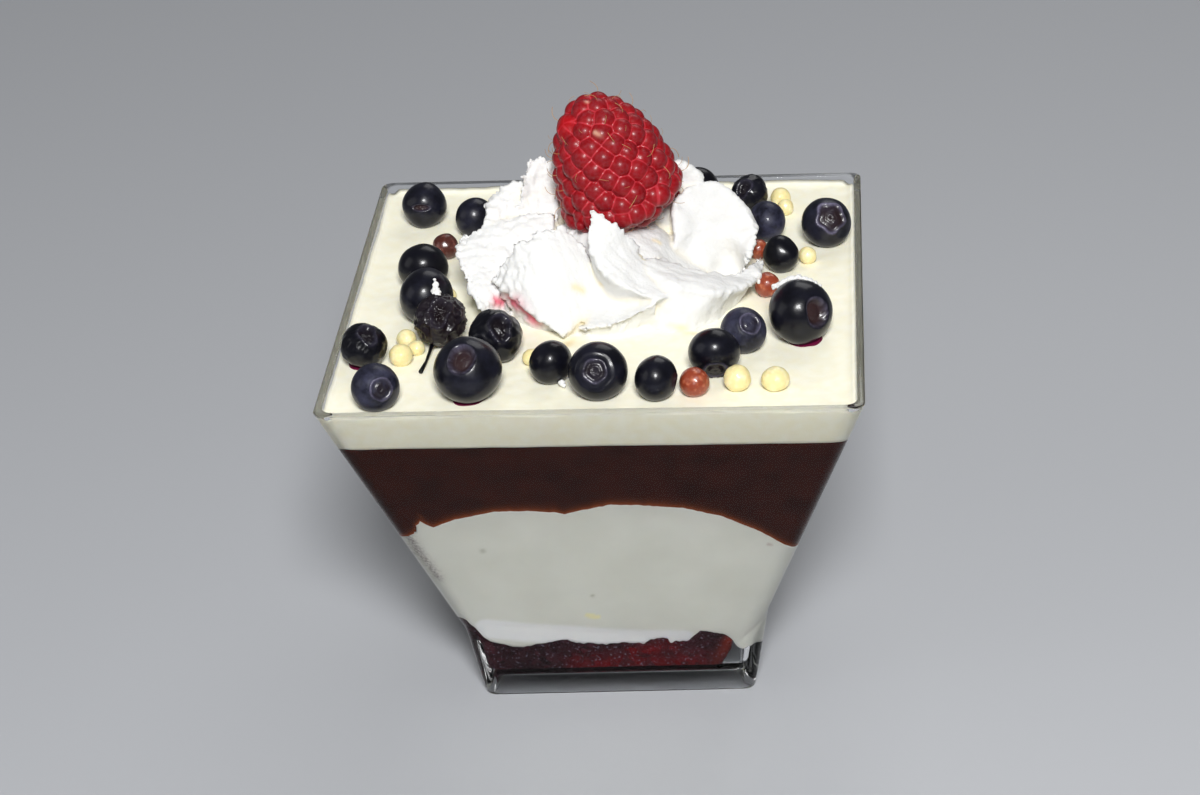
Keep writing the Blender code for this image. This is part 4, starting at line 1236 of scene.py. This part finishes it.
body_profile.append((0, FLESH_INSET - RASPBERRY_HALF))
bare = ball_mesh(BARE_AT - BARE_BALL_SHIFT, BARE_BALL_RADIUS, 1, UNEVENNESS)
berry = melted([drupelets, turned_mesh("flesh", body_profile, FLESH_SEGMENTS), bare], RASPBERRY_VOXEL)
mark_edges(berry, centres)
mark(berry, "bare", [([tuple(BARE_AT)], BARE_MARK)])
mark(berry, "torn", TORN_PLACES)
berry.transform(RASPBERRY_PLACE)
finish_piece("raspberry_fruit", berry, raspberry_skin, ["raspberry"])

# %% Loose drupelets
# x, y, height and radius in mm: scraps of the berry that lie on the cream beside it
LOOSE_DRUPELETS = [(11.4, 6.9, 73.6, 0.75), (12.3, 6.9, 73.2, 0.5), (-2.9, -2.1, 72.9, 0.7)]
loose = [ball_mesh(ball[:3], ball[3], k, 0.3, 0.6, 3) for k, ball in enumerate(LOOSE_DRUPELETS)]
finish_piece("raspberry_crumbs", joined_mesh("loose", loose), raspberry_skin)

# %% Make the hairs
HAIR_SHARE = 0.55
HAIR_DEPTH = 0.1
draw = random.Random(11)
tops = [(c + a * (DRUPELET_RADIUS - HAIR_DEPTH), a) for c, a in zip(centres, aims)
        if draw.random() < HAIR_SHARE]
tree, sockets = hair_tree(hair_finish)
hairs = grown(points_mesh("roots", [p * MM for p, _ in tops], [a for _, a in tops]), tree,
              [(sockets["Length"], HAIR_LENGTH * MM), (sockets["Thickness"], HAIR_THICKNESS * MM)])
finish_piece("raspberry_hairs", joined_mesh("hairs", [hairs], RASPBERRY_PLACE), hair_finish)

# %% [markdown]
# The blueberries
#
# A blueberry is a slightly flattened ball. Where its flower was, a crown of five worn teeth stands round a
# shallow hollow. Its blue black skin carries a dusty bloom that is rubbed off in places, which leaves the
# skin glossy there.

# %% Where each berry lies and how it looks
# x, y, radius and lift in mm, the crown's azimuth and elevation, the crown's kind, how much bloom is left,
# and dents as (azimuth, elevation, half width in degrees, depth as a share of the radius)
BLUEBERRIES = [
    (-31.2, 26.6, 3.75, 0.0, -92, 18, "slot", 0.25, [(-180, 0, 30, 0.05), (0, 0, 30, 0.05)]),
    (-22.4, 22.3, 3.3, 0.0, 120, -10, "plain", 0.30, []),
    (-28.6, 3.4, 3.95, 0.0, 100, 20, "plain", 0.05, []),
    (-26.8, -7.2, 4.4, 0.0, 150, 0, "plain", 0.2, []),
    (-23.6, -16.0, 3.8, 1.0, -83, 47, "wrinkled", 0.10, []),
    (-14.9, -20.3, 4.1, 0.0, -60, 48, "folded", 0.05, [(-100, 22, 20, 0.08), (-140, 50, 18, 0.05)]),
    (-17.7, -32.2, 5.05, 0.0, -100, 58, "pit", 0.18, []),
    (-34.6, -21.6, 3.5, 0.0, -50, 62, "folded", 0.05, [(-120, 75, 20, 0.07)]),
    (-31.1, -34.8, 3.6, 0.0, -62, 20, "ring", 0.75, []),
    (-6.0, -27.6, 3.35, 0.0, 140, 10, "plain", 0.10, [(-150, 60, 28, 0.06)]),
    (1.3, -32.2, 4.35, 0.0, -93, 29, "rings", 0.15, []),
    (9.8, -33.1, 3.4, 0.0, -10, -12, "plain", 0.10, []),
    (18.0, -26.2, 3.85, 0.0, -85, -30, "ring", 0.10, []),
    (22.1, -18.9, 3.5, 0.0, -56, 45, "ring", 0.75, []),
    (30.6, -15.6, 4.95, 0.0, -48, 26, "pit", 0.10, []),
    (27.3, 7.2, 3.0, 0.0, 40, 10, "square", 0.05, [(-80, 10, 22, 0.05)]),
    (24.8, 18.6, 3.3, 0.0, -150, 19, "plain", 0.95, []),
    (34.4, 16.5, 4.0, 0.0, -72, 40, "open", 0.30, [(-45, -5, 16, 0.10)]),
    (21.9, 30.0, 3.0, 0.0, -120, 40, "folded", 0.10, []),
    (13.6, 32.4, 3.3, 0.0, 60, 20, "plain", 0.05, []),
]
BERRY_SINK = 0.14
BERRY_FLATNESS = 0.9
BERRY_RINGS = 56
BERRY_SEGMENTS = 72
RING_CROWDING = 1.3
# For each kind of crown: the ring's angle, width and rise, the hollow's depth, and how pale the ring is
CROWNS = {
    "plain": (21, 3.0, 0.025, 0.05, 0.25),
    "square": (20, 3.0, 0.020, 0.05, 0.2),
    "ring": (27, 2.0, 0.06, 0.09, 0.75),
    "rings": (25, 2.2, 0.045, 0.09, 0.3),
    "pit": (25, 1.3, 0.020, 0.30, 0.4),
    "slot": (20, 2.5, 0.015, 0.16, 0.3),
    "open": (35, 2.8, 0.055, 0.10, 1.0),
    "folded": (27, 5.0, 0.050, 0.20, 0.15),
    "wrinkled": (28, 5.0, 0.090, 0.20, 0.1),
}
# How brown each kind's hollow is, how deep the whole skin is creased, how square the berry is, and which
# kinds have a small tip in the middle of the crown
HOLLOWS = {"pit": 1.0, "slot": 1.0, "folded": 0.15, "wrinkled": 0.3, "open": 0.6}
PLAIN_HOLLOW = 0.25
CREASES = {"wrinkled": 0.17, "folded": 0.04}
SWELLS = {"square": 0.05, "slot": 0.03, "folded": 0.03}
TIPPED = ("plain", "ring", "rings", "open", "square")
print("blueberries:", len(BLUEBERRIES), "with", len(CROWNS), "kinds of crown")


# %% The skin round a berry's crown
def away_from(way, azimuth, elevation):
    """The angle in degrees between a direction and one given by azimuth and elevation."""
    turn, rise = math.radians(azimuth), math.radians(elevation)
    aim = Vector((math.cos(turn) * math.cos(rise), math.sin(turn) * math.cos(rise), math.sin(rise)))
    return math.degrees(math.acos(max(-1.0, min(1.0, way.dot(aim)))))


def soft_step(value, edge, width):
    """1 well below the edge and 0 well above it."""
    return 1 / (1 + math.exp(max(-60, min(60, (value - edge) / width))))


def crown_angle(kind, degrees, turn):
    """The angle from the crown's middle, bent so that the crown is not a plain circle."""
    if kind == "slot":
        return degrees * math.hypot(math.cos(turn) / 0.42, math.sin(turn) / 1.15)
    if kind == "pit":
        bumps = 0.22 * math.cos(turn) + 0.10 * math.cos(2 * turn) + 0.04 * math.cos(3 * turn + 1)
        return degrees / (1 + bumps)
    if kind == "open":
        return degrees / (1 + 0.09 * math.cos(5 * turn + 0.6) + 0.05 * math.cos(2 * turn))
    if kind in ("folded", "wrinkled"):
        return degrees / (1 + 0.18 * math.cos(2 * turn + 0.5) + 0.10 * math.cos(3 * turn))
    return degrees / (1 + 0.03 * math.cos(5 * turn))


def berry_skin(kind, angle, turn, seed):
    """The skin's reach, how much it belongs to the pale ring, and how much to the brown hollow."""
    ring_at, ring_width, rise, depth, pale = CROWNS[kind]
    degrees = crown_angle(kind, math.degrees(angle), turn)
    ring = math.exp(-((degrees - ring_at) / ring_width) ** 2)
    inside = soft_step(degrees, ring_at - ring_width, 0.9 if kind == "pit" else 1.5)
    grains = noise.noise(Vector((degrees * 0.35, turn * 6.0, seed * 3.0)))
    reach = 1 + rise * ring * (1 + 0.5 * grains) - depth * inside + 0.012 * grains * inside
    if kind in TIPPED:
        reach += 0.02 * math.exp(-((degrees - 0.45 * ring_at) / 2.2) ** 2)
        reach -= 0.04 * math.exp(-(degrees / 3.0) ** 2)
        reach += 0.008 * math.exp(-((degrees - ring_at - 9) / 1.6) ** 2)
    if kind == "rings":
        reach -= 0.07 * soft_step(degrees, 40, 2.0)
        reach += 0.025 * math.exp(-((degrees - 41) / 3.0) ** 2)
    hollow = inside * HOLLOWS.get(kind, PLAIN_HOLLOW)
    return reach, pale * ring * (0.6 + 0.4 * grains), hollow


# %% One berry
def berry_mesh(entry, index):
    """Rings round the crown's axis, pushed out and in by the crown, lumps, creases and dents."""
    x, y, radius, lift, azimuth, elevation, kind, bloom, dents = entry
    tilted = Matrix.Rotation(math.radians(90 - elevation), 4, "Y")
    turned = Matrix.Rotation(math.radians(azimuth), 4, "Z") @ tilted
    creased, swell = CREASES.get(kind, 0.0), SWELLS.get(kind, 0.0)
    shift = Vector((index * 7.0, 0, index * 5.0))
    rings, pale, hollow = [], [], []
    for k in range(1, BERRY_RINGS):
        angle = math.pi * (k / BERRY_RINGS) ** RING_CROWDING
        ring = []
        for i in range(BERRY_SEGMENTS):
            turn = 2 * math.pi * i / BERRY_SEGMENTS
            across = math.sin(angle)
            way = Vector((across * math.cos(turn), across * math.sin(turn), math.cos(angle)))
            reach, rim, brown = berry_skin(kind, angle, turn, index)
            reach += 0.022 * noise.noise(way * 1.6 + shift) + 0.004 * noise.noise(way * 7 + shift)
            reach += swell * math.cos(4 * turn + 0.4) * across ** 2
            folds = 1 - 2 * abs(noise.noise(Vector((way.x * 2.7, way.y * 2.7, way.z * 1.7)) + shift))
            fine = 1 - 2 * abs(noise.noise(way * 7.5 + shift))
            reach += creased * (folds - 0.5 + 0.25 * (fine - 0.5))
            world_way = turned.to_3x3() @ way
            for dent in dents:
                reach -= dent[3] * math.exp(-(away_from(world_way, dent[0], dent[1]) / dent[2]) ** 2)
            ring.append(Vector((way.x, way.y, BERRY_FLATNESS * way.z)) * radius * reach * MM)
            pale.append(rim)
            hollow.append(max(brown, PLAIN_HOLLOW if kind == "wrinkled" else 0.0))
        rings.append(ring)
    ends = [sum(ring, Vector()) / len(ring) for ring in (rings[0], rings[-1])]
    mesh = mesh_from_rings("berry", rings, *ends)
    store_values(mesh, "pale", pale + [0.0, 0.0])
    store_values(mesh, "hollow", hollow + [hollow[0], hollow[-1]])
    store_values(mesh, "bloom", [bloom] * len(mesh.vertices))
    height = CREAM_LEVEL + radius * (1 - BERRY_SINK) + lift
    mesh.transform(Matrix.Translation(Vector((x, y, height)) * MM) @ turned)
    return mesh


# %% Blueberry skin
# Waxy skin, nearly black, under a grey violet bloom that is rubbed off in patches and stays on the crown
BLOOM_PATCH, PORE_SIZE = 3.5, 0.3
blueberry_skin, tree, shader = new_finish(
    "blueberry skin", Roughness=0.35, IOR=1.45, Coat_Weight=0.15, Coat_Roughness=0.08,
    Specular_IOR_Level=0.3)
coords = add_node(tree, "ShaderNodeTexCoord")
patches = add_node(tree, "ShaderNodeTexNoise", {
    "Vector": coords.outputs["Object"], "Scale": 1 / (BLOOM_PATCH * MM), "Detail": 7.0, "Roughness": 0.65})
patchy = add_node(tree, "ShaderNodeMapRange", {0: patches.outputs[0], 1: 0.40, 2: 0.62, 3: 0.15, 4: 1.0})
left = add_node(tree, "ShaderNodeAttribute", attribute_name="bloom")
bloom = add_node(tree, "ShaderNodeMath", {0: patchy.outputs[0], 1: left.outputs["Fac"]}, operation="MULTIPLY")
pale = add_node(tree, "ShaderNodeAttribute", attribute_name="pale")
worn = add_node(tree, "ShaderNodeMapRange", {0: patches.outputs[0], 1: 0.40, 2: 0.60, 3: 0.35, 4: 1.0})
crown = add_node(tree, "ShaderNodeMath", {0: pale.outputs["Fac"], 1: worn.outputs[0]}, operation="MULTIPLY")
hollow = add_node(tree, "ShaderNodeAttribute", attribute_name="hollow")
dark = add_node(tree, "ShaderNodeMix", {
    0: hollow.outputs["Fac"], MIX_A: linear("07070d"), MIX_B: linear("30201f")}, data_type="RGBA")
dusty = add_node(tree, "ShaderNodeMix", {
    0: bloom.outputs[0], MIX_A: dark.outputs[MIX_OUT], MIX_B: linear("3a3b50")}, data_type="RGBA")
skin = add_node(tree, "ShaderNodeMix", {
    0: crown.outputs[0], MIX_A: dusty.outputs[MIX_OUT], MIX_B: linear("8a84a0")}, data_type="RGBA")
gloss = add_node(tree, "ShaderNodeMapRange", {0: bloom.outputs[0], 1: 0.0, 2: 0.6, 3: 0.28, 4: 0.5})
pores = add_node(tree, "ShaderNodeTexNoise", {
    "Vector": coords.outputs["Object"], "Scale": 1 / (PORE_SIZE * MM), "Detail": 4.0})
relief = add_node(tree, "ShaderNodeBump", {
    "Height": pores.outputs[0], "Strength": 0.12, "Distance": 0.08 * MM})
tree.links.new(skin.outputs[MIX_OUT], shader.inputs["Base Color"])
tree.links.new(gloss.outputs[0], shader.inputs["Roughness"])
tree.links.new(relief.outputs[0], shader.inputs["Normal"])
print(blueberry_skin.name, "has", len(tree.nodes), "nodes")

# %% Make the blueberries
for index, entry in enumerate(BLUEBERRIES, 1):
    finish_piece(f"berry_{index:02d}", berry_mesh(entry, index), blueberry_skin,
                 [f"blueberry_{index:02d}"])

# %% [markdown]
# Small traces of the cook's hand
#
# Dabs of whipped cream that touched the berries stayed on them, one berry still has its stem, and crumbs of
# cream lie beside the rosette. Each dab is a few lumpy balls melted together, like the rosette itself.

# %% Dabs of cream
# x, y, height and radius in mm of the balls that make each dab
DABS = [
    [(-24.6, -11.3, 65.6, 0.95), (-24.7, -10.8, 66.6, 0.75), (-24.8, -10.3, 67.5, 0.5),
     (-24.9, -10.1, 68.2, 0.28)],
    [(-20.3, 21.6, 65.4, 0.5), (-19.6, 21.9, 65.0, 0.55), (-19.2, 22.2, 64.2, 0.5)],
    [(26.7, -14.0, 67.9, 0.4), (27.4, -13.9, 68.1, 0.5), (28.1, -13.8, 68.4, 0.55), (28.9, -13.7, 68.7, 0.6),
     (29.7, -13.6, 68.9, 0.6), (30.5, -13.6, 69.0, 0.6), (31.3, -13.7, 68.9, 0.55), (32.1, -13.8, 68.6, 0.5),
     (32.9, -14.0, 68.3, 0.4), (33.6, -14.1, 67.9, 0.3)],
    [(24.0, -2.4, 62.9, 0.35), (24.1, -1.5, 63.3, 0.4), (23.7, -0.9, 63.3, 0.35)],
    [(-4.3, -29.9, 60.8, 0.5), (-4.0, -30.3, 60.6, 0.35)],
]
DAB_VOXEL = 0.12
DAB_ROUGHNESS, DAB_GRAIN = 0.22, 0.5


def dab_mesh(balls, seed):
    """One dab: its balls melted together and roughened."""
    mesh = melted([ball_mesh(ball[:3], ball[3], seed, 0.3, 0.8, 3) for ball in balls], DAB_VOXEL)
    points, normals, _ = point_arrays(mesh)
    for index, vert in enumerate(mesh.vertices):
        x, y, z = points[index] / MM
        vert.co += Vector(normals[index]) * DAB_ROUGHNESS * grain(x, y, z, DAB_GRAIN) * MM
    return mesh


dabs = joined_mesh("dabs", [dab_mesh(balls, k) for k, balls in enumerate(DABS)])
finish_piece("cream_dabs", dabs, whipped_cream)

# %% Juice under the berries
# x, y and radius in mm of thin pools that show as a purple rim at a berry's foot
POOLS = [(31.2, -16.0, 2.75), (-17.7, -32.6, 2.75), (-35.2, -21.8, 1.9)]
POOL_FLATNESS = 0.07
# Juice that has partly soaked into the cream: purple red, only a little glossy
pool_finish, tree, shader = new_finish("berry juice", Roughness=0.4)
shader.inputs["Base Color"].default_value = linear("6a1038")
pools = [ball_mesh((x, y, CREAM_LEVEL - OVERLAP), radius, k, 0.12, 2.0, 4, (1, 1, POOL_FLATNESS))
         for k, (x, y, radius) in enumerate(POOLS)]
finish_piece("juice_rims", joined_mesh("pools", pools), pool_finish)

# %% The stem
# Points in mm along the stem, and its radius at each
STEM = [(-24.7, -17.4, 61.9), (-25.0, -19.6, 61.1), (-25.3, -22.4, 60.75), (-25.8, -25.3, 60.6)]
STEM_RADII = (0.45, 0.26, 0.22, 0.34)
STEM_SEGMENTS = 10


def tube_mesh(name, path, radii, segments):
    """A round tube along points in mm."""
    rings = []
    for k, (middle, radius) in enumerate(zip(path, radii)):
        ahead = Vector(path[min(k + 1, len(path) - 1)]) - Vector(path[max(k - 1, 0)])
        turned = ahead.to_track_quat("Z", "Y")
        rings.append([(Vector(middle) + turned @ Vector((radius * math.cos(t), radius * math.sin(t), 0))) * MM
                      for t in np.linspace(0, 2 * math.pi, segments, endpoint=False)])
    return mesh_from_rings(name, rings, Vector(path[0]) * MM, Vector(path[-1]) * MM)


finish_piece("berry_stem", tube_mesh("stem", STEM, STEM_RADII, STEM_SEGMENTS), blueberry_skin)

# %% [markdown]
# The crisp pearls
#
# Puffed cereal grains tumbled in chocolate come out as shiny, not quite round pearls. The milk chocolate
# ones are red brown with paler rubbed spots, the white ones a creamy yellow.

# %% Pearl shapes
# x, y and radius in mm, and the height as a share of the width
BROWN_PEARLS = [
    (-26.4, 14.0, 2.1, 1.0), (15.3, -32.6, 2.2, 1.0), (25.3, -1.4, 1.95, 1.0), (23.6, 11.6, 1.6, 1.0)
]
PALE_PEARLS = [
    (-29.1, -21.9, 1.8, 0.95), (-27.2, -18.8, 1.3, 0.9), (-29.0, -16.2, 1.5, 0.95),
    (21.5, -31.3, 2.0, 1.0), (27.0, -31.3, 2.1, 0.85), (26.9, 30.4, 1.65, 1.0), (31.4, 9.4, 1.4, 1.0),
    (-9.4, -22.6, 1.4, 0.9), (-24.3, -1.6, 1.3, 0.9), (27.7, 27.2, 1.35, 1.0)
]
# How far lumps and dents move the shell, as a share of the radius, and where the pale pearls' seeds start
PEARL_LUMPS, PEARL_DENTS = 0.05, 0.025
PALE_SEED = 9


# %% One pearl
def pearl_mesh(entry, seed):
    """A ball that is not quite round, a little way into the cream."""
    x, y, radius, ratio = entry
    bm = bmesh.new()
    bmesh.ops.create_icosphere(bm, subdivisions=5, radius=radius * MM)
    for vert in bm.verts:
        way = vert.co.normalized()
        lumps = noise.noise(way * 1.3 + Vector((seed * 3.0, 0, 0)))
        dents = noise.noise(way * 3.5 + Vector((0, seed * 3.0, 0)))
        vert.co *= 1 + PEARL_LUMPS * lumps + PEARL_DENTS * dents
        vert.co.z *= ratio
    mesh = bpy.data.meshes.new("pearl")
    bm.to_mesh(mesh)
    bm.free()
    height = CREAM_LEVEL + radius * (ratio - BERRY_SINK)
    mesh.transform(Matrix.Translation(Vector((x, y, height)) * MM))
    return mesh


# %% Pearl finishes
def shell_finish(name, colour, spot, spot_mm, roughness):
    """A polished chocolate shell: one colour with small paler spots and a faint orange-peel surface."""
    made, tree, shader = new_finish(
        name, Roughness=roughness, Subsurface_Weight=0.1, Subsurface_Scale=0.5 * MM,
        Coat_Weight=0.3, Coat_Roughness=0.12)
    coords = add_node(tree, "ShaderNodeTexCoord")
    spots = add_node(tree, "ShaderNodeTexNoise", {
        "Vector": coords.outputs["Object"], "Scale": 1 / (spot_mm * MM), "Detail": 3.0})
    share = add_node(tree, "ShaderNodeMapRange", {0: spots.outputs[0], 1: 0.5, 2: 0.7})
    mixed = add_node(tree, "ShaderNodeMix", {
        0: share.outputs[0], MIX_A: linear(colour), MIX_B: linear(spot)}, data_type="RGBA")
    relief = add_node(tree, "ShaderNodeBump", {
        "Height": spots.outputs[0], "Strength": 0.25, "Distance": 0.1 * MM})
    tree.links.new(mixed.outputs[MIX_OUT], shader.inputs["Base Color"])
    tree.links.new(relief.outputs[0], shader.inputs["Normal"])
    return made


milk_shell = shell_finish("milk chocolate shell", "8c3a22", "b86a4c", 0.9, 0.35)
# One pearl is given a darker brown than the others
darker_shell = shell_finish("darker brown shell", "4a2019", "70443c", 0.9, 0.35)
white_shell = shell_finish("white chocolate shell", "eedfa2", "f6edc0", 1.4, 0.4)
print("shells:", milk_shell.name, darker_shell.name, white_shell.name, sep=", ")

# %% Make the pearls
for index, entry in enumerate(BROWN_PEARLS, 1):
    finish_piece(f"brown_pearl_{index}", pearl_mesh(entry, index), darker_shell if index == 1 else milk_shell,
                 [f"pearl_brown_{index}"])
for index, entry in enumerate(PALE_PEARLS, 1):
    finish_piece(f"pale_pearl_{index}", pearl_mesh(entry, index + PALE_SEED), white_shell,
                 [f"pearl_pale_{index}"])
